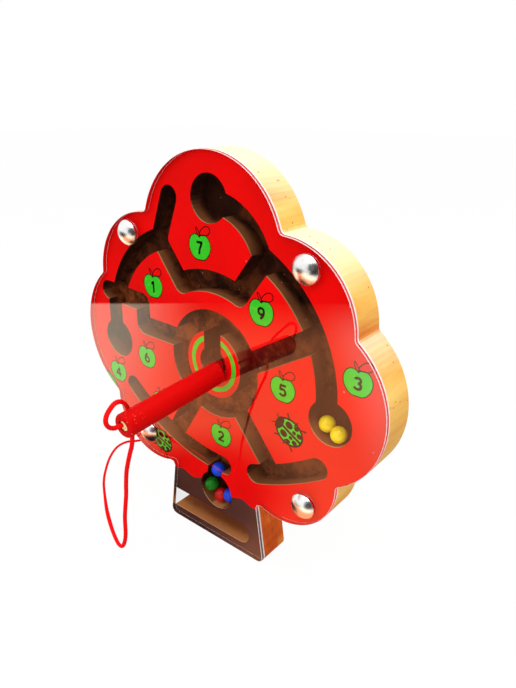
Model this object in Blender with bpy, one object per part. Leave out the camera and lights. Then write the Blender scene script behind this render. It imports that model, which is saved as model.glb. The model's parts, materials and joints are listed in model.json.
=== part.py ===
"""A tree-shaped magnetic ball maze.

A routed wooden board stands on its trunk under a clear cover. Steel balls run in the grooves, and a
wand with a magnet in its tip, tied to the board by a cord, drags them along from outside.
The board's front looks toward -Y, +Z is up, and the origin is the middle of the trunk's bottom face.
"""
import math

import bmesh
import bpy
from mathutils import Matrix, Vector
from mathutils.geometry import interpolate_bezier

MM = 0.001

# Clearances
SEAT_GAP = 0.3 * MM
HOLE_GAP = 0.3 * MM

# Balls, and the grooves cut for them
BALL_DIAMETER = 7.0 * MM
GROOVE_SIDE_PLAY = 2.8 * MM
GROOVE_DEPTH_PLAY = 2.5 * MM
NECK_SIDE_PLAY = 1.8 * MM
POCKET_SIDE_PLAY = 13.0 * MM
KEYHOLE_SIDE_PLAY = 8.2 * MM

# Board and cover
BOARD_THICKNESS = 15.0 * MM
COVER_THICKNESS = 2.0 * MM
RING_HEIGHT = 93.8 * MM
RING_RADIUS = 20.6 * MM
OUTER_ARC_RADIUS = 59.5 * MM
NOTCH_FILLET = 2.2 * MM

# Lobe radii, from the crown down
TOP_LOBE_RADIUS = 38.4 * MM
UPPER_LOBE_RADIUS = 33.6 * MM
SIDE_LOBE_RADIUS = 38.0 * MM
LOWER_LOBE_RADIUS = 27.9 * MM

# Trunk, and the wand's storage slot in it
TRUNK_TOP_HALF_WIDTH = 26.6 * MM
TRUNK_BASE_HALF_WIDTH = 31.0 * MM
TRUNK_CORNER_RADIUS = 3.0 * MM
SLOT_HEIGHT = 9.0 * MM
SLOT_SIDE_PLAY = 1.4 * MM
SLOT_DEPTH_PLAY = 0.7 * MM
SLOT_END_WALL = 9.2 * MM

# Dome nails
DOME_DIAMETER = 11.6 * MM
DOME_HEIGHT = 5.0 * MM
DOME_RIM = 0.5 * MM
NAIL_DIAMETER = 2.0 * MM
NAIL_LENGTH = 9.0 * MM
NAIL_POINT = 1.6 * MM

# Wand
WAND_DIAMETER = 10.0 * MM
WAND_LENGTH = 52.0 * MM
WAND_DROOP = math.radians(3.8)
WAND_EDGE = 0.6 * MM
WAND_TIP_WALL = 1.0 * MM
MAGNET_LENGTH = 5.0 * MM
PEG_DIAMETER = 4.2 * MM
PEG_SIDE_PLAY = 0.6 * MM
PEG_RECESS = 0.6 * MM
PEG_HOLE_DEPTH = 8.0 * MM

# Cord
CORD_DIAMETER = 1.5 * MM
CORD_OFF_AXIS = 1.3 * MM
CORD_HOLE_DEPTH = 9.0 * MM
CORD_HOLE_ANGLE = math.radians(-123.0)
CORD_POINT_GAP = 3.6 * MM

# Places on the board's face, (x, height above the ring's centre), in millimetres
TOP_LOBE = (0.0, 53.1)
UPPER_LOBE = (37.6, 29.8)
SIDE_LOBE = (48.4, -0.3)
LOWER_LOBE = (39.4, -34.9)
TOP_POCKET = (-0.5, 72.4)
LEFT_POCKET = (-65.8, -3.9)
RIGHT_POCKET = (61.5, -7.1)
TRUNK_POCKET = (-0.3, -67.4)
KEYHOLE = (-0.3, 0.8)
UPPER_DOME = (49.4, 52.7)
LOWER_LEFT_DOME = (-44.6, -49.8)
LOWER_RIGHT_DOME = (52.3, -49.2)
WAND_PLACE = (4.9, -1.4)

# Grooves on the face: two places for a straight one, three for an arc through them
GROOVE_ROUTES = {
    "top_run": ((0.0, 71.5), (18.0, 65.5), (27.5, 51.2)),
    "top_link": ((27.5, 52.0), (15.0, 35.2)),
    "upper_arch": ((15.0, 35.2), (-1.5, 38.2), (-18.0, 34.3)),
    "left_link": ((-29.5, 49.8), (-18.0, 34.3)),
    "left_blind": ((-23.6, 71.0), (-30.0, 54.5)),
    "left_arc": ((-29.8, 52.3), (-48.0, 42.4), (-61.8, 22.5)),
    "left_shelf": ((-71.0, 20.7), (-45.5, 19.3)),
    "left_step": ((-45.5, 19.3), (-45.5, 7.9)),
    "ring_inlet": ((-45.5, 7.9), (-20.0, 7.5)),
    "left_drop": ((-66.3, 20.5), (-67.0, -2.0)),
    "upper_spoke": ((19.5, 5.5), (51.5, 24.7)),
    "right_spoke": ((13.3, -15.7), (33.0, -41.0)),
    "right_shelf": ((24.3, -47.0), (41.0, -39.6), (57.0, -30.0)),
    "left_spoke": ((-10.7, -17.6), (-27.0, -44.6)),
    "lower_run": ((-57.0, -27.8), (-28.0, -45.0), (5.0, -50.8)),
}
NECK_ROUTE = ((0.0, -50.8), (-2.6, -67.4))
OUTER_ARC_START = math.radians(62.5)
OUTER_ARC_END = math.radians(-5.0)

# Where the resting balls lie: the angle of one ball in each pocket, and how far back each is, 0 to 1
YELLOW_RIGHT_ANGLE = math.radians(-68.0)
RED_POCKET_ANGLE = math.radians(-100.6)
BLUE_NECK_PLACE = (-1.7, -57.8)
BALL_DEPTHS = {
    "ball_yellow_left": 1.0, "ball_yellow_right": 0.0, "ball_blue_neck": 0.0, "ball_green_pocket": 0.0,
    "ball_red_pocket": 0.7, "ball_blue_pocket": 0.4, "ball_red_held": 0.0,
}

# The cord's route from the wand's end to the board's edge, in millimetres
CORD_ROUTE = (
    (3.6, -55.2, 89.4), (3.6, -58.6, 89.2), (3.6, -62.0, 89.0), (3.6, -65.2, 89.2),
    (3.8, -67.7, 90.8), (4.1, -69.0, 93.4), (4.5, -68.7, 96.2), (4.8, -67.0, 98.5),
    (4.6, -64.6, 99.7), (3.8, -61.8, 99.0), (2.2, -58.8, 96.6), (0.1, -56.2, 93.6),
    (-1.5, -54.3, 89.6), (-1.9, -53.5, 84.6), (-1.7, -53.4, 78.8), (-2.4, -53.5, 73.6),
    (-4.4, -53.4, 68.6), (-8.6, -52.6, 58.6), (-11.4, -51.6, 49.6), (-13.0, -51.0, 42.6),
    (-16.4, -50.3, 29.0), (-18.0, -49.9, 17.0), (-21.6, -49.2, 8.8), (-27.0, -47.8, 5.4),
    (-34.0, -45.6, 7.6), (-41.0, -42.8, 13.0), (-46.8, -39.4, 17.2), (-53.2, -34.9, 21.7),
    (-56.4, -30.8, 25.7), (-58.6, -25.8, 30.1), (-60.0, -19.8, 32.7), (-60.0, -13.6, 32.8),
    (-59.0, -8.0, 31.2), (-58.2, -3.6, 30.3), (-57.1, -0.8, 31.6), (-55.8, 0.0, 33.7),
    (-52.9, 0.0, 38.2),
)

# Fineness of the facets
CHORD = 2.4 * MM
CAP_STEPS = 10
POCKET_STEPS = 36
RING_STEPS = 48
TURN_STEPS = 24
SMALL_STEPS = 12
ROUTE_STEPS = 12
BALL_SEGMENTS = 20
BALL_RINGS = 10

# Worked out from the sizes above
FACE_Y = -BOARD_THICKNESS / 2
BACK_Y = BOARD_THICKNESS / 2
COVER_BACK_Y = FACE_Y - SEAT_GAP
COVER_FRONT_Y = COVER_BACK_Y - COVER_THICKNESS
ABOVE_COVER_Y = COVER_FRONT_Y - SEAT_GAP
CUT_FROM_Y = FACE_Y - BOARD_THICKNESS / 4
BALL_RADIUS = BALL_DIAMETER / 2
GROOVE_WIDTH = BALL_DIAMETER + GROOVE_SIDE_PLAY
GROOVE_FLOOR_Y = FACE_Y + BALL_DIAMETER + GROOVE_DEPTH_PLAY
POCKET_RADIUS = (BALL_DIAMETER + POCKET_SIDE_PLAY) / 2
KEYHOLE_RADIUS = (BALL_DIAMETER + KEYHOLE_SIDE_PLAY) / 2
BALL_FRONT_Y = FACE_Y + BALL_RADIUS + SEAT_GAP / 3
BALL_BACK_Y = GROOVE_FLOOR_Y - BALL_RADIUS - SEAT_GAP
SLOT_WIDTH = WAND_DIAMETER + SLOT_SIDE_PLAY
SLOT_FLOOR_Y = FACE_Y + WAND_DIAMETER + SLOT_DEPTH_PLAY
WAND_RADIUS = WAND_DIAMETER / 2
MAGNET_HOLE_RADIUS = WAND_RADIUS - WAND_TIP_WALL
MAGNET_RADIUS = MAGNET_HOLE_RADIUS - HOLE_GAP
PEG_HOLE_RADIUS = (PEG_DIAMETER + PEG_SIDE_PLAY) / 2
CORD_HOLE_RADIUS = CORD_DIAMETER / 2 + HOLE_GAP
NAIL_HOLE_RADIUS = NAIL_DIAMETER / 2 + HOLE_GAP


def on_face(place):
    """A place given in millimetres from the ring's centre, as (x, z) in metres."""
    return Vector((place[0] * MM, RING_HEIGHT + place[1] * MM))


def polar(centre, radius, angle):
    """The point at an angle on a circle in the face's plane."""
    return Vector((centre[0] + radius * math.cos(angle), centre[1] + radius * math.sin(angle)))


def direction(centre, point):
    """The angle of a point seen from a centre."""
    return math.atan2(point.y - centre.y, point.x - centre.x)


def arc_points(centre, radius, start, end):
    """Points along an arc, both ends included, with chords of about CHORD."""
    steps = max(2, math.ceil(abs(end - start) * radius / CHORD))
    return [polar(centre, radius, start + (end - start) * i / steps) for i in range(steps + 1)]


def circle_points(centre, radius, steps):
    """Evenly spaced points round a circle."""
    return [polar(centre, radius, 2 * math.pi * i / steps) for i in range(steps)]


def arc_through(first, middle, last):
    """Points along the arc that runs from first through middle to last."""
    p, q = middle - first, last - first
    turn = 2 * (p.x * q.y - p.y * q.x)
    centre = first + Vector((q.y * p.length_squared - p.y * q.length_squared,
                             p.x * q.length_squared - q.x * p.length_squared)) / turn
    start = direction(centre, first)
    sweep = (direction(centre, last) - start) % (2 * math.pi)
    if turn < 0:
        sweep -= 2 * math.pi
    return arc_points(centre, (first - centre).length, start, start + sweep)


def route_line(route):
    """A groove's centre line: a straight line for two places, an arc for three."""
    places = [on_face(place) for place in route]
    return arc_through(*places) if len(places) == 3 else places


def stroke_outline(line, width):
    """The outline of a groove of this width along a line, with round ends."""
    half = width / 2
    last = len(line) - 1
    ways = [(line[min(i + 1, last)] - line[max(i - 1, 0)]).normalized() for i in range(len(line))]
    sides = [Vector((-way.y, way.x)) * half for way in ways]

    def round_end(point, side):
        start = math.atan2(side.y, side.x)
        return [polar(point, half, start - math.pi * i / CAP_STEPS) for i in range(1, CAP_STEPS)]

    left = [point + side for point, side in zip(line, sides)]
    right = [point - side for point, side in zip(line, sides)]
    return left + round_end(line[-1], sides[-1]) + right[::-1] + round_end(line[0], -sides[0])


def outer_meeting(centre_a, radius_a, centre_b, radius_b):
    """Where two circles cross, on the left of the way from the first centre to the second."""
    across = centre_b - centre_a
    way = across.normalized()
    along = (across.length_squared + radius_a ** 2 - radius_b ** 2) / (2 * across.length)
    off = math.sqrt(radius_a ** 2 - along ** 2)
    return centre_a + way * along + Vector((-way.y, way.x)) * off


def concave_arc(centre, start_point, end_point):
    """The short arc of a notch's fillet, without its ends, which belong to the lobes beside it."""
    start = direction(centre, start_point)
    sweep = (direction(centre, end_point) - start) % (2 * math.pi)
    return arc_points(centre, NOTCH_FILLET, start, start + sweep)[1:-1]


def tree_outline():
    """The tree: lobes with filleted notches, then a trunk that flares down to its foot."""
    lobes = [(on_face(TOP_LOBE), TOP_LOBE_RADIUS), (on_face(UPPER_LOBE), UPPER_LOBE_RADIUS),
             (on_face(SIDE_LOBE), SIDE_LOBE_RADIUS), (on_face(LOWER_LOBE), LOWER_LOBE_RADIUS)]
    half = []
    start = math.pi / 2
    for (centre, radius), (next_centre, next_radius) in zip(lobes, lobes[1:]):
        notch = outer_meeting(centre, radius + NOTCH_FILLET, next_centre, next_radius + NOTCH_FILLET)
        half += arc_points(centre, radius, start, direction(centre, notch))
        half += concave_arc(notch, centre, next_centre)
        start = direction(next_centre, notch)

    # The last fillet touches the lowest lobe and the trunk's side
    centre, radius = lobes[-1]
    foot = Vector((TRUNK_BASE_HALF_WIDTH, 0.0))
    side = (Vector((TRUNK_TOP_HALF_WIDTH, centre.y - radius)) - foot).normalized()
    outward = Vector((side.y, -side.x))
    base = foot + outward * NOTCH_FILLET
    along = (centre - base).dot(side)
    off = (centre - base - side * along).length
    notch = base + side * (along - math.sqrt((radius + NOTCH_FILLET) ** 2 - off ** 2))
    half += arc_points(centre, radius, start, direction(centre, notch))
    touch = notch - outward * NOTCH_FILLET
    half += concave_arc(notch, centre, touch) + [touch]

    # The foot's corner is rounded
    lean = math.atan2(outward.y, outward.x)
    inset = TRUNK_CORNER_RADIUS * (1 + math.sin(lean)) / math.cos(lean)
    corner = Vector((foot.x - inset, TRUNK_CORNER_RADIUS))
    half += arc_points(corner, TRUNK_CORNER_RADIUS, lean, -math.pi / 2)
    return half + [Vector((-point.x, point.y)) for point in reversed(half) if point.x > MM / 10]


def pocket_centres():
    """The four round pockets."""
    return {"top_pocket": on_face(TOP_POCKET), "left_pocket": on_face(LEFT_POCKET),
            "right_pocket": on_face(RIGHT_POCKET), "trunk_pocket": on_face(TRUNK_POCKET)}


def dome_places():
    """Each dome nail's name and its place on the face."""
    x, height = UPPER_DOME
    return {"dome_nail_upper_left": on_face((-x, height)), "dome_nail_upper_right": on_face((x, height)),
            "dome_nail_lower_left": on_face(LOWER_LEFT_DOME),
            "dome_nail_lower_right": on_face(LOWER_RIGHT_DOME)}


def plain_finish(name, colour, roughness, metallic=0.0, alpha=1.0):
    """A material of one colour."""
    material = bpy.data.materials.new(name)
    material.use_nodes = True
    shader = material.node_tree.nodes["Principled BSDF"]
    shader.inputs["Base Color"].default_value = (*colour, 1.0)
    shader.inputs["Roughness"].default_value = roughness
    shader.inputs["Metallic"].default_value = metallic
    shader.inputs["Alpha"].default_value = alpha
    return material


def add_object(name, data, place=(0, 0, 0), parent=None, material=None):
    """A new object in the scene; its place is counted from its parent."""
    made = bpy.data.objects.new(name, data)
    made.location = place
    made.parent = parent
    bpy.context.scene.collection.objects.link(made)
    if material:
        data.materials.append(material)
    return made


def mesh_from(name, bm):
    """A mesh from a bmesh, with its faces turned outward and its round sides shaded smooth."""
    bmesh.ops.remove_doubles(bm, verts=bm.verts, dist=MM / 1000)
    bmesh.ops.recalc_face_normals(bm, faces=bm.faces)
    mesh = bpy.data.meshes.new(name)
    bm.to_mesh(mesh)
    bm.free()
    mesh.shade_smooth()
    mesh.set_sharp_from_angle(angle=math.radians(35))
    return mesh


def prism(name, outline, front, back):
    """A mesh of an outline in the face's plane, from one depth to another."""
    bm = bmesh.new()
    face = bm.faces.new([bm.verts.new((point.x, front, point.y)) for point in outline])
    grown = bmesh.ops.extrude_face_region(bm, geom=[face])
    moved = [item for item in grown["geom"] if isinstance(item, bmesh.types.BMVert)]
    bmesh.ops.translate(bm, verts=moved, vec=(0, back - front, 0))
    return mesh_from(name, bm)


def turned(name, profile, steps=TURN_STEPS):
    """A mesh turned about the Y axis from (radius, y) points, which end on the axis or close in a ring."""
    bm = bmesh.new()
    verts = [bm.verts.new((radius, y, 0)) for radius, y in profile]
    edges = [bm.edges.new(pair) for pair in zip(verts, verts[1:])]
    if profile[0][0] > 0:
        edges.append(bm.edges.new((verts[-1], verts[0])))
    bmesh.ops.spin(bm, geom=verts + edges, cent=(0, 0, 0), axis=(0, 1, 0), angle=2 * math.pi,
                   steps=steps, use_merge=True)
    return mesh_from(name, bm)


def rod(name, radius, start, end, steps=TURN_STEPS):
    """A plain round bar along the Y axis."""
    return turned(name, [(0, start), (radius, start), (radius, end), (0, end)], steps)


def cutter(name, mesh, place=(0, 0, 0), parent=None):
    """A hidden tool that a Boolean subtracts."""
    made = add_object(name, mesh, place, parent)
    made.hide_render = True
    made.display_type = "WIRE"
    return made


def subtract(target, name, tools):
    """Subtract all the tools from a target in one Boolean."""
    group = bpy.data.collections.new(name)
    for tool in tools:
        group.objects.link(tool)
    modifier = target.modifiers.new(name, "BOOLEAN")
    modifier.operation = "DIFFERENCE"
    modifier.operand_type = "COLLECTION"
    modifier.collection = group
    modifier.solver = "EXACT"


def groove_outlines():
    """The outline of every straight, curved and round cut of the maze but the ring."""
    ring_centre, keyhole = on_face((0, 0)), on_face(KEYHOLE)
    outlines = {name: stroke_outline(route_line(route), GROOVE_WIDTH)
                for name, route in GROOVE_ROUTES.items()}
    outer_arc = arc_points(ring_centre, OUTER_ARC_RADIUS, OUTER_ARC_START, OUTER_ARC_END)
    outlines["outer_arc"] = stroke_outline(outer_arc, GROOVE_WIDTH)
    key_top = Vector((keyhole.x, ring_centre.y + RING_RADIUS))
    outlines["key_slot"] = stroke_outline([keyhole, key_top], GROOVE_WIDTH)
    outlines["keyhole"] = circle_points(keyhole, KEYHOLE_RADIUS, POCKET_STEPS)
    outlines["neck"] = stroke_outline(route_line(NECK_ROUTE), BALL_DIAMETER + NECK_SIDE_PLAY)
    for name, centre in pocket_centres().items():
        outlines[name] = circle_points(centre, POCKET_RADIUS, POCKET_STEPS)
    return outlines


def maze_cutters():
    """The tools that rout the maze, all to one depth."""
    tools = [cutter(f"cut_{name}", prism(name, outline, CUT_FROM_Y, GROOVE_FLOOR_Y))
             for name, outline in groove_outlines().items()]
    inner, outer = RING_RADIUS - GROOVE_WIDTH / 2, RING_RADIUS + GROOVE_WIDTH / 2
    section = [(inner, CUT_FROM_Y), (outer, CUT_FROM_Y), (outer, GROOVE_FLOOR_Y), (inner, GROOVE_FLOOR_Y)]
    tools.append(cutter("cut_ring", turned("ring", section, RING_STEPS), (0, 0, RING_HEIGHT)))
    return tools


def storage_slot_cutter():
    """The wand's storage slot, open through the trunk's left edge."""
    start = Vector((-TRUNK_BASE_HALF_WIDTH - SLOT_WIDTH, SLOT_HEIGHT))
    rise = SLOT_HEIGHT / (RING_HEIGHT + LOWER_LOBE[1] * MM - LOWER_LOBE_RADIUS)
    half_width = TRUNK_BASE_HALF_WIDTH + (TRUNK_TOP_HALF_WIDTH - TRUNK_BASE_HALF_WIDTH) * rise
    end = Vector((half_width - SLOT_END_WALL - SLOT_WIDTH / 2, SLOT_HEIGHT))
    outline = stroke_outline([start, end], SLOT_WIDTH)
    return cutter("cut_storage_slot", prism("storage_slot", outline, CUT_FROM_Y, SLOT_FLOOR_Y))


def cord_hole_cutter():
    """The hole in the lower left lobe's edge that the cord is glued into, pointing at the lobe's centre."""
    centre = on_face((-LOWER_LOBE[0], LOWER_LOBE[1]))
    inner, outer = LOWER_LOBE_RADIUS - CORD_HOLE_DEPTH, LOWER_LOBE_RADIUS + CORD_DIAMETER
    mesh = rod("cord_hole", CORD_HOLE_RADIUS, inner, outer, SMALL_STEPS)
    upright = Matrix.Rotation(math.pi / 2, 4, "X")
    mesh.transform(Matrix.Rotation(math.pi / 2 - CORD_HOLE_ANGLE, 4, "Y") @ upright)
    return cutter("cut_cord_hole", mesh, (centre.x, 0, centre.y))


def nail_hole_cutters(kind, front, back):
    """Drills for the four nails, from one depth to another."""
    tools = []
    for name, place in dome_places().items():
        drill = rod(name, NAIL_HOLE_RADIUS, front, back, SMALL_STEPS)
        tools.append(cutter(f"{kind}_{name}", drill, (place.x, 0, place.y)))
    return tools


def make_board(outline):
    """The board, routed, drilled for the nails and the cord."""
    wood = plain_finish("board_wood", (0.62, 0.07, 0.05), 0.5)
    board = add_object("maze_board", prism("maze_board", outline, FACE_Y, BACK_Y), material=wood)
    pilots = nail_hole_cutters("pilot", CUT_FROM_Y, ABOVE_COVER_Y + NAIL_LENGTH + HOLE_GAP)
    subtract(board, "board_cuts", maze_cutters() + [storage_slot_cutter(), cord_hole_cutter()] + pilots)


def make_cover(outline):
    """The clear cover, drilled for the nails."""
    clear = plain_finish("clear_acrylic", (0.95, 0.95, 0.95), 0.05, alpha=0.2)
    sheet = prism("clear_cover", outline, COVER_FRONT_Y, COVER_BACK_Y)
    cover = add_object("clear_cover", sheet, material=clear)
    front, back = COVER_FRONT_Y - COVER_THICKNESS, COVER_BACK_Y + COVER_THICKNESS
    subtract(cover, "cover_holes", nail_hole_cutters("hole", front, back))


def make_dome_nails():
    """The four nails: a dome with a thin rim, and a pointed shank."""
    chrome = plain_finish("bright_nail", (0.85, 0.85, 0.86), 0.12, metallic=1.0)
    rim = DOME_DIAMETER / 2
    crown = [(rim * math.cos(a), -DOME_RIM - (DOME_HEIGHT - DOME_RIM) * math.sin(a))
             for a in (math.pi / 2 * i / 6 for i in range(7))]
    crown[-1] = (0, -DOME_HEIGHT)
    shank = NAIL_DIAMETER / 2
    profile = crown[::-1] + [(rim, 0), (shank, 0), (shank, NAIL_LENGTH - NAIL_POINT), (0, NAIL_LENGTH)]
    for name, place in dome_places().items():
        add_object(name, turned(name, profile), (place.x, ABOVE_COVER_Y, place.y), material=chrome)


def make_wand():
    """The wand: a dowel bored at both ends, with a magnet in its tip and a peg in its outer end.

    Its outer end hangs down a little, so the tip leans on the cover with its lower rim.
    """
    place = on_face(WAND_PLACE)
    tip_y = ABOVE_COVER_Y - WAND_RADIUS * math.sin(WAND_DROOP)
    carrier = add_object("wand_axis", None, (place.x, tip_y, place.y))
    carrier.rotation_euler.x = WAND_DROOP
    bore_floor = -MAGNET_LENGTH - 2 * SEAT_GAP
    end, hole_floor = -WAND_LENGTH, PEG_HOLE_DEPTH - WAND_LENGTH
    rim = WAND_RADIUS - WAND_EDGE
    profile = [(0, bore_floor), (MAGNET_HOLE_RADIUS, bore_floor), (MAGNET_HOLE_RADIUS, 0), (rim, 0),
               (WAND_RADIUS, -WAND_EDGE), (WAND_RADIUS, end + WAND_EDGE), (rim, end),
               (PEG_HOLE_RADIUS, end), (PEG_HOLE_RADIUS, hole_floor), (0, hole_floor)]
    red = plain_finish("wand_paint", (0.75, 0.01, 0.01), 0.3)
    add_object("wand_dowel", turned("wand_dowel", profile), parent=carrier, material=red)

    steel = plain_finish("magnet_plating", (0.7, 0.7, 0.7), 0.25, metallic=1.0)
    disc = rod("wand_magnet", MAGNET_RADIUS, -SEAT_GAP - MAGNET_LENGTH, -SEAT_GAP)
    add_object("wand_magnet", disc, parent=carrier, material=steel)

    bare = plain_finish("bare_wood", (0.75, 0.5, 0.2), 0.6)
    peg_mesh = rod("wand_end_peg", PEG_DIAMETER / 2, end + PEG_RECESS, hole_floor - SEAT_GAP)
    peg = add_object("wand_end_peg", peg_mesh, parent=carrier, material=bare)
    groove = rod("cord_groove", CORD_HOLE_RADIUS, end - SEAT_GAP, hole_floor, SMALL_STEPS)
    subtract(peg, "peg_cuts", [cutter("cut_cord_groove", groove, (-CORD_OFF_AXIS, 0, 0), carrier)])


def wall_angle_between(ball_a, ball_b):
    """The angle round a pocket between two balls that lie against its wall and all but touch."""
    apart = (BALL_DEPTHS[ball_a] - BALL_DEPTHS[ball_b]) * (BALL_BACK_Y - BALL_FRONT_Y)
    across = math.sqrt((BALL_DIAMETER + SEAT_GAP) ** 2 - apart ** 2)
    return 2 * math.asin(across / 2 / (POCKET_RADIUS - BALL_RADIUS - SEAT_GAP))


def ball_places():
    """Where each ball rests on the face."""
    reach = POCKET_RADIUS - BALL_RADIUS - SEAT_GAP
    pockets, keyhole = pocket_centres(), on_face(KEYHOLE)
    right, trunk = pockets["right_pocket"], pockets["trunk_pocket"]
    yellow_left = YELLOW_RIGHT_ANGLE - wall_angle_between("ball_yellow_left", "ball_yellow_right")
    green = RED_POCKET_ANGLE - wall_angle_between("ball_red_pocket", "ball_green_pocket")
    blue = RED_POCKET_ANGLE + wall_angle_between("ball_red_pocket", "ball_blue_pocket")
    return {
        "ball_yellow_left": polar(right, reach, yellow_left),
        "ball_yellow_right": polar(right, reach, YELLOW_RIGHT_ANGLE),
        "ball_blue_neck": on_face(BLUE_NECK_PLACE),
        "ball_green_pocket": polar(trunk, reach, green),
        "ball_red_pocket": polar(trunk, reach, RED_POCKET_ANGLE),
        "ball_blue_pocket": polar(trunk, reach, blue),
        "ball_red_held": keyhole - Vector((0, KEYHOLE_RADIUS - BALL_RADIUS - SEAT_GAP)),
    }


def make_balls():
    """The steel balls, painted in four colours."""
    paints = {"yellow": (0.75, 0.5, 0.02), "blue": (0.02, 0.18, 0.6), "green": (0.05, 0.4, 0.06),
              "red": (0.7, 0.02, 0.02)}
    finishes = {name: plain_finish(f"ball_{name}", colour, 0.25) for name, colour in paints.items()}
    for name, place in ball_places().items():
        bm = bmesh.new()
        bmesh.ops.create_uvsphere(bm, u_segments=BALL_SEGMENTS, v_segments=BALL_RINGS, radius=BALL_RADIUS)
        y = BALL_FRONT_Y + BALL_DEPTHS[name] * (BALL_BACK_Y - BALL_FRONT_Y)
        colour = name.split("_")[1]
        add_object(name, mesh_from(name, bm), (place.x, y, place.y), material=finishes[colour])


def smooth_route(points):
    """Points at even steps along a smooth curve through the given ones."""
    dense = []
    last = len(points) - 1
    for i in range(last):
        before, after = points[max(i - 1, 0)], points[min(i + 2, last)]
        lead, trail = (points[i + 1] - before) / 6, (after - points[i]) / 6
        handles = (points[i] + lead, points[i + 1] - trail)
        dense += interpolate_bezier(points[i], *handles, points[i + 1], ROUTE_STEPS)[:-1]
    dense.append(points[-1])
    total = sum((b - a).length for a, b in zip(dense, dense[1:]))
    step = total / round(total / CORD_POINT_GAP)
    even, walked = [dense[0]], 0.0
    for a, b in zip(dense, dense[1:]):
        length = (b - a).length
        while walked + length >= step * len(even) and len(even) * step < total - step / 2:
            even.append(a.lerp(b, (step * len(even) - walked) / length))
        walked += length
    return even + [dense[-1]]


def make_cord():
    """The cord that ties the wand to the board."""
    points = smooth_route([Vector(point) * MM for point in CORD_ROUTE])
    curve = bpy.data.curves.new("tether_cord", "CURVE")
    curve.dimensions = "3D"
    curve.bevel_depth = CORD_DIAMETER / 2
    curve.bevel_resolution = 2
    curve.use_fill_caps = True
    spline = curve.splines.new("POLY")
    spline.points.add(len(points) - 1)
    for target, point in zip(spline.points, points):
        target.co = (*point, 1.0)
    add_object("tether_cord", curve, material=plain_finish("cord_red", (0.8, 0.01, 0.01), 0.6))


def main():
    """Clear the scene and model every piece."""
    for old in list(bpy.data.objects):
        bpy.data.objects.remove(old)
    outline = tree_outline()
    make_board(outline)
    make_cover(outline)
    make_dome_nails()
    make_wand()
    make_balls()
    make_cord()


main()
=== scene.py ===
"""The looks of a tree-shaped magnetic ball maze.

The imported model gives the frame: a routed wooden board under a clear cover, dome nails, steel balls and
a wand on a cord. This script dresses each piece. The front looks toward -Y, +Z is up, units are metres.
"""
import json
import logging
import math
from contextlib import contextmanager
from dataclasses import dataclass, field
from enum import Enum
from typing import Any, Callable, Iterator, Mapping, Optional, Sequence, Union

import bmesh
import bpy
import numpy as np
from bpy.types import Material, Mesh, Object
from mathutils import Matrix, Vector

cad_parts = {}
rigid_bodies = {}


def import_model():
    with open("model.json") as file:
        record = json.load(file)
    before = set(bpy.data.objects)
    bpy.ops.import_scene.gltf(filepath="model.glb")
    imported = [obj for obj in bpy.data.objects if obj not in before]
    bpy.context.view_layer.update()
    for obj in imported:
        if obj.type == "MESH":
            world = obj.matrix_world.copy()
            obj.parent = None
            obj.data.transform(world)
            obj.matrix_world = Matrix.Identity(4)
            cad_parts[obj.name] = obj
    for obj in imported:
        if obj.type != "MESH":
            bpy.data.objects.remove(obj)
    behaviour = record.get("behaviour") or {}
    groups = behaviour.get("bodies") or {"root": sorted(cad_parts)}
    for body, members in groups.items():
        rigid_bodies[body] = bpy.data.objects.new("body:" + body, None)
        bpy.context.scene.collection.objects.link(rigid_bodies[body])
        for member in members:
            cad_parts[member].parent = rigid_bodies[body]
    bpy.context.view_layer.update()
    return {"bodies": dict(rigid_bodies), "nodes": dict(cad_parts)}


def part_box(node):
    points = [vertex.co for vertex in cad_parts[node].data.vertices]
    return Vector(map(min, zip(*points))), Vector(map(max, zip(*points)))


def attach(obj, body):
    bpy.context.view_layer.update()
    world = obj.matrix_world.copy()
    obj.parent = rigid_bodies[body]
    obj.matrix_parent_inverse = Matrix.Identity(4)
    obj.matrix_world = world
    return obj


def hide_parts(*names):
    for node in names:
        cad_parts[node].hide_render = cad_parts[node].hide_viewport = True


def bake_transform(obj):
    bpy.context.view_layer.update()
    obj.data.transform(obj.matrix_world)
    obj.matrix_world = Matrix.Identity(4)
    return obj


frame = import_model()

LOG = logging.getLogger("ball_maze")
MM = 0.001
SHARP_ANGLE = math.radians(40.0)
FLAT_ANGLE = math.radians(0.4)
GRID_WELD = 0.0005 * MM
NODE_WELD = 0.002 * MM
SHORTEST_EDGE = 0.0002 * MM
NOISE_MEAN = 0.5

Colour = tuple[float, float, float]
Point = tuple[float, float, float]
Place = tuple[float, float]
Span = tuple[float, float]
Value = Union["Socket", float, Sequence[float]]


# Shader expressions


@dataclass(frozen=True)
class Noise:
    """Soft noise: its scale to the metre, or one for each axis, its detail and its roughness."""

    scale: Union[float, Point]
    detail: float = 2.0
    rough: float = 0.5


@dataclass(frozen=True)
class Specks:
    """Small round specks: cells to the metre, a speck's radius as a part of a cell, and the share of the
    cells that hold one."""

    scale: float
    radius: float
    share: float


def _joined_by(operation: str, swapped: bool = False) -> Callable[["Socket", Value], "Socket"]:
    """A method that joins a Socket and another value by a Math node, with the other first if swapped."""
    def join(self: "Socket", other: Value) -> "Socket":
        """Add the Math node."""
        return self._math(operation, *((other, self) if swapped else (self, other)))

    return join


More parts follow.
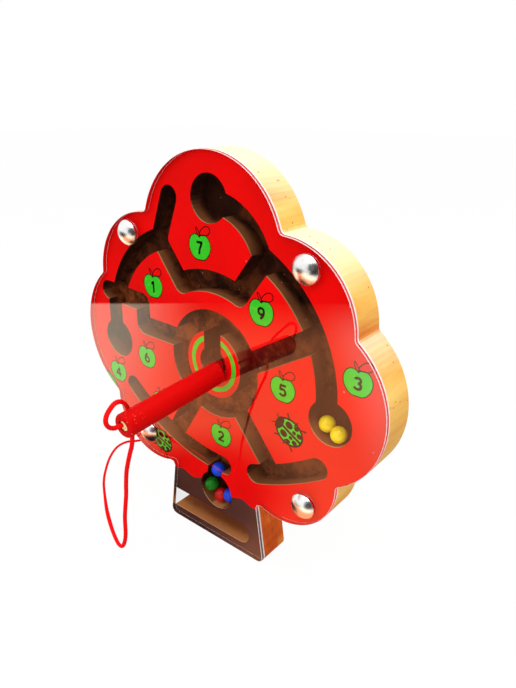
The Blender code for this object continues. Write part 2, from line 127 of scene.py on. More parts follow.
class Socket:
    """A shader value that Python expressions can be written with."""

    def __init__(self, tree: "ShaderTree", link: Optional[bpy.types.NodeSocket]) -> None:
        """Wrap one output of a node."""
        self.tree = tree
        self.link = link

    def _math(self, operation: str, *terms: Value) -> "Socket":
        """A Math node on these terms."""
        return self.tree.node("ShaderNodeMath", {"operation": operation}, dict(enumerate(terms)))

    __add__, __radd__ = _joined_by("ADD"), _joined_by("ADD", swapped=True)
    __sub__, __rsub__ = _joined_by("SUBTRACT"), _joined_by("SUBTRACT", swapped=True)
    __mul__, __rmul__ = _joined_by("MULTIPLY"), _joined_by("MULTIPLY", swapped=True)
    __truediv__, __rtruediv__ = _joined_by("DIVIDE"), _joined_by("DIVIDE", swapped=True)
    __lt__, __gt__ = _joined_by("LESS_THAN"), _joined_by("GREATER_THAN")
    largest = _joined_by("MAXIMUM")

    def __abs__(self) -> "Socket":
        """The size of self without its sign."""
        return self._math("ABSOLUTE", self)

    def sine(self) -> "Socket":
        """The sine of an angle in radians."""
        return self._math("SINE", self)

    def ramp(self, low: float, high: float) -> "Socket":
        """A smooth rise from 0 at low to 1 at high."""
        settings = {"interpolation_type": "SMOOTHSTEP"}
        return self.tree.node("ShaderNodeMapRange", settings,
                              {"Value": self, "From Min": low, "From Max": high})


class ShaderTree:
    """The nodes of one material, or of the world."""

    def __init__(self, owner: Union[Material, bpy.types.World]) -> None:
        """Start an empty tree on its owner."""
        owner.use_nodes = True
        self.tree = owner.node_tree
        self.tree.nodes.clear()

    def node(self, kind: str, settings: Optional[Mapping[str, Any]] = None,
             values: Optional[Mapping[Any, Value]] = None, output: Union[int, str] = 0) -> Socket:
        """Add a node.

        Args:
            kind: the node's type.
            settings: attributes, set before the sockets; "stops" sets a ramp's stops.
            values: a number, colour or Socket for each input, by name or number.
            output: the output that is returned.

        Returns:
            The chosen output, ready for expressions.
        """
        made = self.tree.nodes.new(kind)
        for name, value in (settings or {}).items():
            if name == "stops":
                self._set_stops(made.color_ramp, value)
            else:
                setattr(made, name, value)
        for name, value in (values or {}).items():
            if isinstance(value, Socket):
                self.tree.links.new(value.link, made.inputs[name])
            else:
                made.inputs[name].default_value = value
        return Socket(self, made.outputs[output] if len(made.outputs) else None)

    @staticmethod
    def _set_stops(ramp: bpy.types.ColorRamp, stops: Sequence[tuple[float, Colour]]) -> None:
        """Give a colour ramp these places and colours."""
        while len(ramp.elements) < len(stops):
            ramp.elements.new(1.0)
        for element, (place, colour) in zip(ramp.elements, stops):
            element.position = place
            element.color = (*colour, 1.0)

    def point(self) -> Socket:
        """The surface point in the object's own coordinates."""
        return self.node("ShaderNodeTexCoord", output="Object")

    def geometry(self, output: str) -> Socket:
        """What the surface itself tells: its true normal, or whether its back is seen."""
        return self.node("ShaderNodeNewGeometry", output=output)

    def ray(self, kind: str) -> Socket:
        """1 for one kind of ray, 0 for the others."""
        return self.node("ShaderNodeLightPath", output=f"Is {kind} Ray")

    def split(self, vector: Socket) -> tuple[Socket, Socket, Socket]:
        """The three parts of a vector."""
        first = self.node("ShaderNodeSeparateXYZ", None, {0: vector})
        parts = first.link.node.outputs
        return first, Socket(self, parts[1]), Socket(self, parts[2])

    def vector(self, operation: str, *terms: Value, output: Union[int, str] = 0) -> Socket:
        """A Vector Math node on these terms."""
        return self.node("ShaderNodeVectorMath", {"operation": operation}, dict(enumerate(terms)), output)

    def stretch(self, vector: Socket, scale: Point) -> Socket:
        """A vector with each part scaled."""
        return self.vector("MULTIPLY", vector, scale)

    def reach(self, vector: Socket, centre: Point, scale: Point) -> Socket:
        """The distance from a centre, with each part scaled first."""
        away = self.vector("SUBTRACT", vector, centre)
        return self.vector("LENGTH", self.stretch(away, scale), output="Value")

    def dot(self, vector: Socket, axis: Point) -> Socket:
        """The share of a vector along an axis."""
        return self.vector("DOT_PRODUCT", vector, axis, output="Value")

    def noise(self, vector: Socket, kind: Noise) -> Socket:
        """Soft noise between 0 and 1."""
        scale = kind.scale
        if not isinstance(scale, float):
            vector, scale = self.stretch(vector, scale), 1.0
        return self.node("ShaderNodeTexNoise", None, {"Vector": vector, "Scale": scale,
                                                      "Detail": kind.detail, "Roughness": kind.rough})

    def specks(self, vector: Socket, kind: Specks) -> Socket:
        """1 on the specks, 0 between them."""
        near = self.node("ShaderNodeTexVoronoi", None, {"Vector": vector, "Scale": kind.scale}, "Distance")
        chance = Socket(self, near.link.node.outputs["Color"])
        return (near < kind.radius) * (self.split(chance)[0] < kind.share)

    def mix(self, factor: Value, first: Value, second: Value) -> Socket:
        """A colour between two colours, by the node's colour sockets: inputs 6 and 7 and output 2."""
        settings = {"data_type": "RGBA", "clamp_factor": True}
        ends = [end if isinstance(end, Socket) else (*end, 1.0) for end in (first, second)]
        return self.node("ShaderNodeMix", settings, {0: factor, 6: ends[0], 7: ends[1]}, 2)

    def colours(self, factor: Socket, stops: Sequence[tuple[float, Colour]]) -> Socket:
        """A colour read off a ramp."""
        return self.node("ShaderNodeValToRGB", {"stops": stops}, {"Fac": factor})

    def clear(self) -> Socket:
        """A shader that shows only what lies behind."""
        return self.node("ShaderNodeBsdfTransparent")

    def mirror(self, level: float) -> Socket:
        """A smooth mirror that gives back a share of the light."""
        return self.node("ShaderNodeBsdfAnisotropic", None,
                         {"Color": (level, level, level, 1.0), "Roughness": 0.0})

    def glow(self, colour: Colour, strength: float = 1.0) -> Socket:
        """A shader that gives off light."""
        return self.node("ShaderNodeEmission", None, {"Color": (*colour, 1.0), "Strength": strength})

    def blend(self, factor: Value, first: Socket, second: Socket) -> Socket:
        """A shader between two shaders."""
        return self.node("ShaderNodeMixShader", None, {0: factor, 1: first, 2: second})


# Finishes


@dataclass(frozen=True)
class Finish:
    """How a surface looks."""

    name: str

    def shade(self, tree: ShaderTree) -> Socket:
        """The shader of this finish."""
        raise NotImplementedError

    def material(self) -> Material:
        """A material with this finish."""
        made = bpy.data.materials.new(self.name)
        tree = ShaderTree(made)
        tree.node("ShaderNodeOutputMaterial", None, {"Surface": self.shade(tree)})
        return made


@dataclass(frozen=True)
class Coat(Finish):
    """A finish with a Principled shader. Its roughness is a least value and what a grain adds to it, and its
    relief is a depth and a strength."""

    rough: Span = (0.5, 0.0)
    relief: Span = (0.0, 1.0)
    specular: float = 0.5

    def coat(self, tree: ShaderTree, colour: Value, grain: Socket, height: Optional[Socket] = None,
             **others: float) -> Socket:
        """The Principled shader.

        Args:
            tree: the tree that gains it.
            colour: its base colour.
            grain: where it is rougher, from 0 to 1.
            height: where it is raised, if it has a relief.
            others: further inputs, named in small letters with _ between the words.

        Returns:
            The shader.
        """
        values = {"Base Color": colour if isinstance(colour, Socket) else (*colour, 1.0),
                  "Roughness": self.rough[0] + self.rough[1] * grain, "Specular IOR Level": self.specular}
        values |= {name.replace("_", " ").title(): value for name, value in others.items()}
        if height is not None:
            depth, strength = self.relief
            values["Normal"] = tree.node("ShaderNodeBump", None,
                                         {"Height": height, "Distance": depth, "Strength": strength})
        return tree.node("ShaderNodeBsdfPrincipled", None, values)


@dataclass(frozen=True)
class PrintedFace(Coat):
    """The printed front: a red crown over a dark trunk, with a scalloped border between them."""

    crown: Colour = (0.86, 0.0015, 0.0015)
    crown_worn: Colour = (0.76, 0.002, 0.0015)
    trunk: Colour = (0.085, 0.026, 0.019)
    trunk_worn: Colour = (0.11, 0.039, 0.03)
    dust: Colour = (0.85, 0.8, 0.75)
    border_height: float = 28.0 * MM
    border_swing: float = 0.9 * MM
    border_pitch: float = 13.0 * MM
    border_blur: float = 0.12 * MM
    wear: Noise = Noise(34.0, 4.0)
    wear_edges: Span = (0.35, 0.7)
    specks: Specks = Specks(210.0, 0.055, 0.06)
    dust_cover: float = 0.6
    grain: Noise = Noise(2600.0)
    rough: Span = (0.46, 0.14)
    relief: Span = (0.02 * MM, 0.35)
    specular: float = 0.03

    def shade(self, tree: ShaderTree) -> Socket:
        """Ink by height, with faint unevenness and a little dust."""
        point = tree.point()
        x, _, z = tree.split(point)
        border = self.border_height + self.border_swing * (x * (math.tau / self.border_pitch)).sine()
        above = (z - border).ramp(-self.border_blur, self.border_blur)
        worn = tree.noise(point, self.wear).ramp(*self.wear_edges)
        ink = tree.mix(above, tree.mix(worn, self.trunk, self.trunk_worn),
                       tree.mix(worn, self.crown, self.crown_worn))
        dust = tree.specks(point, self.specks) * self.dust_cover
        grain = tree.noise(point, self.grain)
        return self.coat(tree, tree.mix(dust, ink, self.dust), grain, grain)


@dataclass(frozen=True)
class SolidWood(Coat):
    """Bare pale wood whose grain lies along X, in soft bands across Z, with a painted highlight that whitens
    it where it faces up, and deeper amber low down and on the trunk's sides, partly its own tone and partly
    painted shade."""

    pale: Colour = (0.87, 0.57, 0.155)
    # Cream of the painted highlight on faces that look up.
    highlight_cream: Colour = (0.95, 0.88, 0.62)
    honey: Colour = (0.79, 0.42, 0.08)
    amber: Colour = (0.64, 0.1, 0.002)
    umber: Colour = (0.34, 0.04, 0.001)
    pore: Colour = (0.24, 0.09, 0.015)
    tones: tuple[float, ...] = (0.34, 0.52, 0.76, 1.0)
    bands: Noise = Noise((8.0, 12.0, 70.0))
    streaks: Noise = Noise((30.0, 60.0, 720.0), 3.0, 0.6)
    streak_share: float = 0.2
    # Where and how far the amber deepens: partly the wood's own tone, partly painted shade on the trunk's
    # sides.
    amber_below: float = 24.0 * MM
    pale_above: float = 56.0 * MM
    pale_behind: Span = (-1.0 * MM, 7.5 * MM)
    age: float = 0.34
    deepening_lost_behind: float = 0.08
    deepening_facing_front: float = 0.3
    sideways: Span = (0.3, 0.8)
    blotches: Noise = Noise((100.0, 420.0, 130.0), 3.0, 0.6)
    deepening_blotch: float = 0.4
    # Painted highlight: how far faces that look up are whitened.
    highlight_rise: Span = (0.4, 0.95)
    highlight_cover: float = 0.65
    pores: Specks = Specks(640.0, 0.19, 0.16)
    pore_stretch: Point = (0.35, 0.6, 1.0)
    pore_cover: float = 0.6
    pore_depth: float = 0.8
    fibres: Noise = Noise((250.0, 420.0, 4200.0))
    rough: Span = (0.46, 0.2)
    relief: Span = (0.05 * MM, 0.45)
    specular: float = 0.15

    def shade(self, tree: ShaderTree) -> Socket:
        """Broad bands, finer streaks inside them and short dark pores along the grain."""
        point = tree.point()
        aside, _, rise = tree.split(tree.geometry("True Normal"))
        _, back, height = tree.split(point)
        broad, streak, blotch, fibre = (tree.noise(point, kind) for kind in
                                        (self.bands, self.streaks, self.blotches, self.fibres))
        # Deeper amber low down and on faces that look sideways: partly the wood's own tone, partly painted
        # shade.
        deepened = 1.0 - height.ramp(self.amber_below, self.pale_above)
        front = self.deepening_facing_front
        deepened = deepened * (front + (1.0 - front) * abs(aside).ramp(*self.sideways))
        deepened = deepened * (self.age - self.deepening_lost_behind * back.ramp(*self.pale_behind)
                       + self.deepening_blotch * (blotch - NOISE_MEAN))
        tone = broad * (1.0 - self.streak_share) + streak * self.streak_share + deepened
        wood = tree.colours(tone, list(zip(self.tones, (self.pale, self.honey, self.amber, self.umber))))
        # Painted highlight: faces that look up are whitened toward cream.
        wood = tree.mix(rise.ramp(*self.highlight_rise) * self.highlight_cover, wood, self.highlight_cream)
        pores = tree.specks(tree.stretch(point, self.pore_stretch), self.pores)
        return self.coat(tree, tree.mix(pores * self.pore_cover, wood, self.pore), fibre,
                         fibre - pores * self.pore_depth)


@dataclass(frozen=True)
class RoutedWood(Coat):
    """Cut walls and floors, fuzzy with fibres. Painted shade darkens them with depth, darkest on the maze's
    floor, and darkens the walls that don't face up, which are scorched too. A painted highlight makes the
    walls that face up pale and lines their upper edge, and the slot is painted paler. Painted shade darkens
    the floor in patches, toward the top and the right, and in the pockets and the keyhole: a dark spot is its
    (x, z) and its half width and half height, in millimetres."""

    # Wall colours: scorched and in painted shade where a wall doesn't face up, pale with painted light where
    # it does.
    scorched_shaded_wall: Colour = (0.03, 0.006, 0.002)
    lit_wall: Colour = (0.24, 0.08, 0.026)
    # Floor colours: near black for painted shade, brown where the painted shade leaves the floor lit.
    deep: Colour = (0.02, 0.003, 0.001)
    brown: Colour = (0.36, 0.085, 0.017)
    # The slot's wall and floor colours, paler as painted light.
    slot_wall_lit: Colour = (0.55, 0.22, 0.07)
    slot_floor_lit: Colour = (0.3, 0.095, 0.027)
    # Colour of the painted highlight line along the upper edge of walls that face up.
    lip: Colour = (0.66, 0.38, 0.17)
    fibre: Colour = (0.26, 0.1, 0.036)
    dust: Colour = (0.72, 0.55, 0.4)
    face_y: float = -7.5 * MM
    floor_y: float = 2.0 * MM
    slot_top: float = 17.0 * MM
    mottling: Noise = Noise(260.0, 5.0, 0.65)
    depth_mottle: float = 0.7
    depth_edges: Span = (0.15, 0.95)
    lit_wall_rise: Span = (-0.1, 0.7)
    patches: Noise = Noise(95.0, 5.0, 0.7)
    patch_edges: Span = (0.36, 0.66)
    # Painted shade on the floor toward the top, toward the right and in the spots below.
    shade_above: Span = (100.0 * MM, 140.0 * MM)
    lost_above: float = 0.7
    shade_right: Span = (5.0 * MM, 35.0 * MM)
    lost_right: float = 0.4
    shade_spots: tuple[tuple[float, float, float, float], ...] = (
        (-0.3, 99.0, 7.5, 14.0), (-0.5, 166.2, 11.0, 11.0), (-65.8, 89.9, 11.0, 11.0),
        (61.5, 86.7, 11.0, 11.0), (-0.3, 26.4, 11.0, 11.0),
    )
    spot_edges: Span = (0.8, 1.1)
    lost_in_spot: float = 0.85
    threads: Noise = Noise((700.0, 1500.0, 2600.0), 3.0)
    thread_edges: Span = (0.56, 0.74)
    thread_cover: float = 0.4
    thread_lost_below: float = 0.3
    # Where the painted highlight line lies: on walls that face up, just under the face.
    lit_edge_rise: Span = (0.1, 0.7)
    lit_edge_depth: Span = (0.3 * MM, 0.9 * MM)
    lit_edge_cover: float = 0.8
    specks: Specks = Specks(420.0, 0.1, 0.08)
    dust_cover: float = 0.7
    rough: Span = (0.78, 0.16)
    relief: Span = (0.1 * MM, 0.6)
    specular: float = 0.1

    def shade(self, tree: ShaderTree) -> Socket:
        """Brown with painted shade by depth and a painted highlight by how far a wall faces up, with mottled
        fibres and pale grains of dust.
        """
        point = tree.point()
        rise = tree.split(tree.geometry("True Normal"))[2]
        across, back, height = tree.split(point)
        mottle, thread, lit_patches = (tree.noise(point, kind) for kind in
                                  (self.mottling, self.threads, self.patches))
        # Painted shade by depth: wall colour near the face, floor colour down in the maze.
        low = back.ramp(self.face_y, self.floor_y) + (mottle - NOISE_MEAN) * self.depth_mottle
        low = low.ramp(*self.depth_edges)
        lit_patches = lit_patches.ramp(*self.patch_edges)
        lit_patches = lit_patches * (1.0 - self.lost_above * height.ramp(*self.shade_above))
        lit_patches = lit_patches * (1.0 - self.lost_right * across.ramp(*self.shade_right))
        # Painted shade in the pockets and the keyhole.
        for x, z, wide, tall in self.shade_spots:
            off = tree.reach(point, (x * MM, 0.0, z * MM), (1.0 / (wide * MM), 0.0, 1.0 / (tall * MM)))
            lit_patches = lit_patches * (1.0 - self.lost_in_spot + self.lost_in_spot * off.ramp(*self.spot_edges))
        # Painted light on the walls: pale where they face up, dark where they don't.
        wall = tree.mix(rise.ramp(*self.lit_wall_rise), self.scorched_shaded_wall, self.lit_wall)
        floor = tree.mix(lit_patches, self.deep, self.brown)
        # The slot is painted paler, as if it were more lit.
        in_slot = height < self.slot_top
        wood = tree.mix(low, tree.mix(in_slot, wall, self.slot_wall_lit), tree.mix(in_slot, floor, self.slot_floor_lit))
        fuzz = thread.ramp(*self.thread_edges) * (self.thread_cover - self.thread_lost_below * low)
        wood = tree.mix(fuzz, wood, self.fibre)
        # Painted highlight along the upper edge of walls that face up.
        at_lit_edge = rise.ramp(*self.lit_edge_rise) * (1.0 - (back - self.face_y).ramp(*self.lit_edge_depth))
        wood = tree.mix(at_lit_edge * self.lit_edge_cover, wood, self.lip)
        dust = tree.specks(point, self.specks) * self.dust_cover
        return self.coat(tree, tree.mix(dust, wood, self.dust), mottle, thread + mottle)


@dataclass(frozen=True)
class ClearSheet(Finish):
    """Clear acrylic: it lets light straight through and mirrors more at a slant, off both of its faces."""

    index: float = 1.58

    def shade(self, tree: ShaderTree) -> Socket:
        """A mirror where light enters, clear where it leaves. One face mirrors F by Fresnel, both together
        2 F / (1 + F)."""
        once = tree.node("ShaderNodeFresnel", None, {"IOR": self.index})
        twice = 2.0 * once / (1.0 + once)
        entering = 1.0 - tree.geometry("Backfacing")
        return tree.blend(twice * entering, tree.clear(), tree.mirror(1.0))


@dataclass(frozen=True)
class SheetWall(Coat):
    """The acrylic's cut walls: hazy and clear from outside, a mirror to what is seen through the sheet."""

    tint: Colour = (0.96, 0.9, 0.86)
    cloud: float = 0.09
    unevenness: float = 0.2
    back_line: Span = (-8.5 * MM, -8.2 * MM)
    back_cloud: float = 0.7
    inner_mirror: float = 0.8
    saw_marks: Noise = Noise(900.0)
    rough: Span = (0.3, 0.2)

    def shade(self, tree: ShaderTree) -> Socket:
        """Clear under a thin haze of saw marks outside, white along the back edge, a mirror inside."""
        point = tree.point()
        marks = tree.noise(point, self.saw_marks)
        at_back = tree.split(point)[1].ramp(*self.back_line)
        cover = self.cloud + self.unevenness * (marks - NOISE_MEAN) + self.back_cloud * at_back
        outside = tree.blend(cover, tree.clear(), self.coat(tree, self.tint, marks))
        return tree.blend(tree.geometry("Backfacing"), outside, tree.mirror(self.inner_mirror))


@dataclass(frozen=True)
class FrostedRim(Coat):
    """The sawn and softened edge of the acrylic, whitish and half clear."""

    tint: Colour = (0.95, 0.9, 0.88)
    cloud: float = 0.55
    unevenness: float = 0.4
    saw_marks: Noise = Noise(700.0)
    rough: Span = (0.25, 0.2)

    def shade(self, tree: ShaderTree) -> Socket:
        """Rough white over clear, uneven along the saw's path."""
        marks = tree.noise(tree.point(), self.saw_marks)
        cover = self.cloud + self.unevenness * (marks - NOISE_MEAN)
        return tree.blend(cover, tree.clear(), self.coat(tree, self.tint, marks))


@dataclass(frozen=True)
class BrightPlate(Coat):
    """Bright plating over steel, with faint ripples and handling marks."""

    plate: Colour = (0.94, 0.94, 0.93)
    rubbed: Colour = (0.62, 0.6, 0.57)
    marks: Noise = Noise(420.0, 4.0, 0.6)
    rubbed_edges: Span = (0.45, 0.8)
    rubbed_cover: float = 0.35
    dull_edges: Span = (0.5, 0.8)
    ripples: Noise = Noise(330.0, 1.0)
    rough: Span = (0.26, 0.12)
    relief: Span = (0.05 * MM, 0.3)

    def shade(self, tree: ShaderTree) -> Socket:
        """A metal mirror, roughened in patches."""
        point = tree.point()
        marks = tree.noise(point, self.marks)
        metal = tree.mix(marks.ramp(*self.rubbed_edges) * self.rubbed_cover, self.plate, self.rubbed)
        return self.coat(tree, metal, marks.ramp(*self.dull_edges), tree.noise(point, self.ripples),
                         metallic=1.0)


@dataclass(frozen=True)
class DowelPaint(Coat):
    """Red lacquer on a turned dowel: the grain shows through along Y, and the outer end is chipped."""

    paint: Colour = (0.56, 0.001, 0.001)
    thick: Colour = (0.42, 0.001, 0.001)
    chip: Colour = (0.92, 0.3, 0.2)
    grain: Noise = Noise((1100.0, 45.0, 1100.0), 3.0)
    thick_edges: Span = (0.5, 0.8)
    thick_cover: float = 0.5
    chips: Specks = Specks(1500.0, 0.22, 0.2)
    chipped: Span = (-62.5 * MM, -50.0 * MM)
    chip_cover: float = 0.75
    rough: Span = (0.42, 0.12)
    relief: Span = (0.04 * MM, 0.4)
    specular: float = 0.05

    def shade(self, tree: ShaderTree) -> Socket:
        """Lacquer over grain, with small chips near the cord's end."""
        point = tree.point()
        grain = tree.noise(point, self.grain)
        lacquer = tree.mix(grain.ramp(*self.thick_edges) * self.thick_cover, self.paint, self.thick)
        near_end = 1.0 - tree.split(point)[1].ramp(*self.chipped)
        chips = tree.specks(point, self.chips) * near_end
        return self.coat(tree, tree.mix(chips * self.chip_cover, lacquer, self.chip), grain, grain)


@dataclass(frozen=True)
class PegWood(Coat):
    """The end grain of a glued wooden peg: pale rings with amber between."""

    pale: Colour = (0.94, 0.82, 0.5)
    amber: Colour = (0.8, 0.45, 0.07)
    pith: Point = (4.4 * MM, 0.0, 88.5 * MM)
    ring: float = 1.1 * MM
    ring_edges: Span = (-0.4, 0.9)
    wander: Noise = Noise(900.0)
    wander_turn: float = 4.0
    rough: Span = (0.55, 0.2)
    relief: Span = (0.04 * MM, 0.5)

    def shade(self, tree: ShaderTree) -> Socket:
        """Rings about an off-centre pith, wandering a little."""
        point = tree.point()
        wander = tree.noise(point, self.wander)
        out = tree.reach(point, self.pith, (1.0, 0.0, 1.0))
        rings = (out * (math.tau / self.ring) + wander * self.wander_turn).sine()
        return self.coat(tree, tree.mix(rings.ramp(*self.ring_edges), self.pale, self.amber), wander, rings)


@dataclass(frozen=True)
class BallPaint(Coat):
    """Enamel on a steel ball."""

    enamel: Colour = (0.5, 0.5, 0.5)
    darker: Colour = (0.4, 0.4, 0.4)
    blotches: Noise = Noise(520.0, 4.0, 0.6)
    blotch_edges: Span = (0.4, 0.75)
    scuffs: Noise = Noise((2600.0, 700.0, 900.0))
    scuff_edges: Span = (0.58, 0.75)
    rough: Span = (0.26, 0.3)
    relief: Span = (0.05 * MM, 0.3)
    specular: float = 0.3
    gloss: float = 0.12
    gloss_roughness: float = 0.12

    def shade(self, tree: ShaderTree) -> Socket:
        """Glossy enamel with soft blotches and a few scuffs."""
        point = tree.point()
        blotch = tree.noise(point, self.blotches)
        scuff = tree.noise(point, self.scuffs).ramp(*self.scuff_edges)
        return self.coat(tree, tree.mix(blotch.ramp(*self.blotch_edges), self.enamel, self.darker), scuff,
                         blotch, coat_weight=self.gloss, coat_roughness=self.gloss_roughness)


@dataclass(frozen=True)
class PrintInk(Coat):
    """A spot of printing ink."""

    ink: Colour = (0.0, 0.0, 0.0)
    thin: Colour = (0.02, 0.02, 0.02)
    cover: Noise = Noise(480.0, 4.0, 0.6)
    thin_edges: Span = (0.5, 0.8)
    rough: Span = (0.46, 0.14)
    specular: float = 0.03

    def shade(self, tree: ShaderTree) -> Socket:
        """Ink that lies a little thin in places."""
        cover = tree.noise(tree.point(), self.cover)
        return self.coat(tree, tree.mix(cover.ramp(*self.thin_edges), self.ink, self.thin), cover)


@dataclass(frozen=True)
class CordYarn(Coat):
    """Dyed cotton yarn with short fuzz."""

    dye: Colour = (0.86, 0.003, 0.004)
    # Darker red of the painted shade in the hollows between fibres.
    hollow_shade: Colour = (0.56, 0.001, 0.002)
    fibres: Noise = Noise((40.0, 900.0, 1.0))
    hollow_shade_edges: Span = (0.45, 0.8)
    hollow_shade_cover: float = 0.6
    tufts: Noise = Noise(1500.0, 3.0)
    rough: Span = (0.76, 0.2)
    relief: Span = (0.06 * MM, 0.4)
    specular: float = 0.1

    def shade(self, tree: ShaderTree) -> Socket:
        """Yarn whose fibres run round the strands, by the piece's own UV map."""
        fibre = tree.noise(tree.node("ShaderNodeTexCoord", output="UV"), self.fibres)
        tuft = tree.noise(tree.point(), self.tufts)
        # Painted shade in the hollows between fibres, laid by noise.
        yarn = tree.mix(fibre.ramp(*self.hollow_shade_edges) * self.hollow_shade_cover, self.dye, self.hollow_shade)
        return self.coat(tree, yarn, tuft, fibre + tuft)


# Surfaces


@dataclass
class Surface:
    """Grids of points gathered into one mesh."""

    points: list[np.ndarray] = field(default_factory=list)
    quads: list[np.ndarray] = field(default_factory=list)
    count: int = 0

    def add(self, grid: np.ndarray, round_rows: bool = False, round_columns: bool = False) -> "Surface":
        """Join a grid of points with quads.

        Args:
            grid: rows by columns of points.
            round_rows: the last row joins the first.
            round_columns: the last column joins the first.

        Returns:
            This surface.
        """
        rows, columns = grid.shape[:2]
        index = np.arange(rows * columns).reshape(rows, columns) + self.count
        if round_rows:
            index = np.vstack([index, index[:1]])
        if round_columns:
            index = np.hstack([index, index[:, :1]])
        corners = (index[:-1, :-1], index[1:, :-1], index[1:, 1:], index[:-1, 1:])
        self.points.append(grid.reshape(-1, 3))
        self.quads.append(np.stack(corners, axis=-1).reshape(-1, 4))
        self.count += rows * columns
        return self

    def piece(self, name: str, materials: Sequence[Material], sharp: float = SHARP_ANGLE) -> Object:
        """The mesh as an object at the origin, closed at its poles and facing outward.

        Args:
            name: the piece's name.
            materials: its material slots.
            sharp: edges over this angle stay sharp.

        Returns:
            The new object.
        """
        mesh = bpy.data.meshes.new(name)
        mesh.from_pydata(np.vstack(self.points).tolist(), [], np.vstack(self.quads).tolist())
        with edited(mesh) as bm:
            bmesh.ops.remove_doubles(bm, verts=bm.verts, dist=GRID_WELD)
            bmesh.ops.dissolve_degenerate(bm, edges=bm.edges, dist=SHORTEST_EDGE)
            bmesh.ops.recalc_face_normals(bm, faces=bm.faces)
        return place_mesh(name, mesh, materials, sharp)


@contextmanager
def edited(mesh: Mesh) -> Iterator[bmesh.types.BMesh]:
    """An editable copy of a mesh, written back when the block ends."""
    bm = bmesh.new()
    bm.from_mesh(mesh)
    yield bm
    bm.to_mesh(mesh)
    bm.free()


def place_mesh(name: str, mesh: Mesh, materials: Sequence[Material], sharp: float) -> Object:
    """An object for a mesh whose place is in its points, shaded smooth up to an angle."""
    made = bpy.data.objects.new(name, mesh)
    bpy.context.scene.collection.objects.link(made)
    for material in materials:
        mesh.materials.append(material)
    mesh.shade_smooth()
    mesh.set_sharp_from_angle(angle=sharp)
    return made


def read(items: Any, name: str, kind: type = np.int32, width: int = 1) -> np.ndarray:
    """One attribute of all of a mesh's points, loops or faces, with a row for each if it is wide."""
    values = np.empty(len(items) * width, kind)
    items.foreach_get(name, values)
    return values.reshape(-1, width) if width > 1 else values


def lathe(profile: Sequence[Place], centre: Place, steps: int = 72) -> np.ndarray:
    """A profile turned about an axis along Y.

    The point at row i and angle t is (x + r_i cos t, y_i, z + r_i sin t).

    Args:
        profile: (radius, y) points.
        centre: the axis's (x, z).
        steps: points round the axis.

    Returns:
        A grid whose columns close on themselves.
    """
    radius, along = np.asarray(profile, float).T[:, :, None]
    angle = np.linspace(0.0, math.tau, steps, endpoint=False)[None, :]
    return np.stack([centre[0] + radius * np.cos(angle), along + 0.0 * angle,
                     centre[1] + radius * np.sin(angle)], axis=-1)


def drawn_in(grid: np.ndarray, tips: np.ndarray) -> np.ndarray:
    """A grid closed at both ends: its first row is drawn in to the first tip, its last row to the last."""
    first, last = (np.broadcast_to(tips[end], grid[:1].shape) for end in (0, -1))
    return np.concatenate([first, grid, last])


def soften(made: Object, width: float, segments: int = 2, rim_slot: int = -1,
           marked_only: bool = False) -> None:
    """Round off an object's sharp edges.

    Args:
        made: the object.
        width: the width of the rounding.
        segments: faces across it.
        rim_slot: the material slot of the rounding, or -1 for its neighbours'.
        marked_only: round only the edges with a bevel weight.
    """
    bevel = made.modifiers.new("softened_edges", "BEVEL")
    bevel.width = width
    bevel.segments = segments
    bevel.limit_method = "WEIGHT" if marked_only else "ANGLE"
    bevel.angle_limit = SHARP_ANGLE
    bevel.harden_normals = True
    bevel.material = rim_slot


def copy_of_node(node: str, name: str, materials: Sequence[Material]) -> Object:
    """A merged copy of a node of the frame, with flat faces made whole."""
    mesh = frame["nodes"][node].data.copy()
    mesh.name = name
    mesh.materials.clear()
    with edited(mesh) as bm:
        bmesh.ops.remove_doubles(bm, verts=bm.verts, dist=NODE_WELD)
        bmesh.ops.dissolve_limit(bm, angle_limit=FLAT_ANGLE, verts=bm.verts, edges=bm.edges)
    return place_mesh(name, mesh, materials, SHARP_ANGLE)


# The board and what is fixed to it


class BoardSurface(Enum):
    """The board's material slots."""

    PRINT = 0
    ROUTED = 1
    BARE = 2


@dataclass
class MazeBoard:
    """The routed board."""

    edge_softness: float = 0.03 * MM
    same_plane: float = 0.05 * MM

    def build(self) -> Object:
        """The board, dressed and riding on its body."""
        finishes = (PrintedFace("printed_face"), RoutedWood("routed_wood"), SolidWood("bare_wood"))
        board = copy_of_node("maze_board", "routed_board", [one.material() for one in finishes])
        self.dress(board.data)
        soften(board, self.edge_softness)
        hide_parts("maze_board")
        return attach(board, "board")

    def dress(self, mesh: Mesh) -> None:
        """Print on the front plane, bare wood on every face that reaches the back, routed wood elsewhere."""
        low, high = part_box("maze_board")
        depths = read(mesh.vertices, "co", np.float32, 3)[read(mesh.loops, "vertex_index"), 1]
        deepest = np.maximum.reduceat(depths, read(mesh.polygons, "loop_start"))
        slots = np.full(len(deepest), BoardSurface.ROUTED.value, np.int32)
        slots[deepest < low.y + self.same_plane] = BoardSurface.PRINT.value
        slots[deepest > high.y - self.same_plane] = BoardSurface.BARE.value
        mesh.polygons.foreach_set("material_index", slots)


class CoverSurface(Enum):
    """The cover's material slots."""

    SHEET = 0
    RIM = 1
    WALL = 2


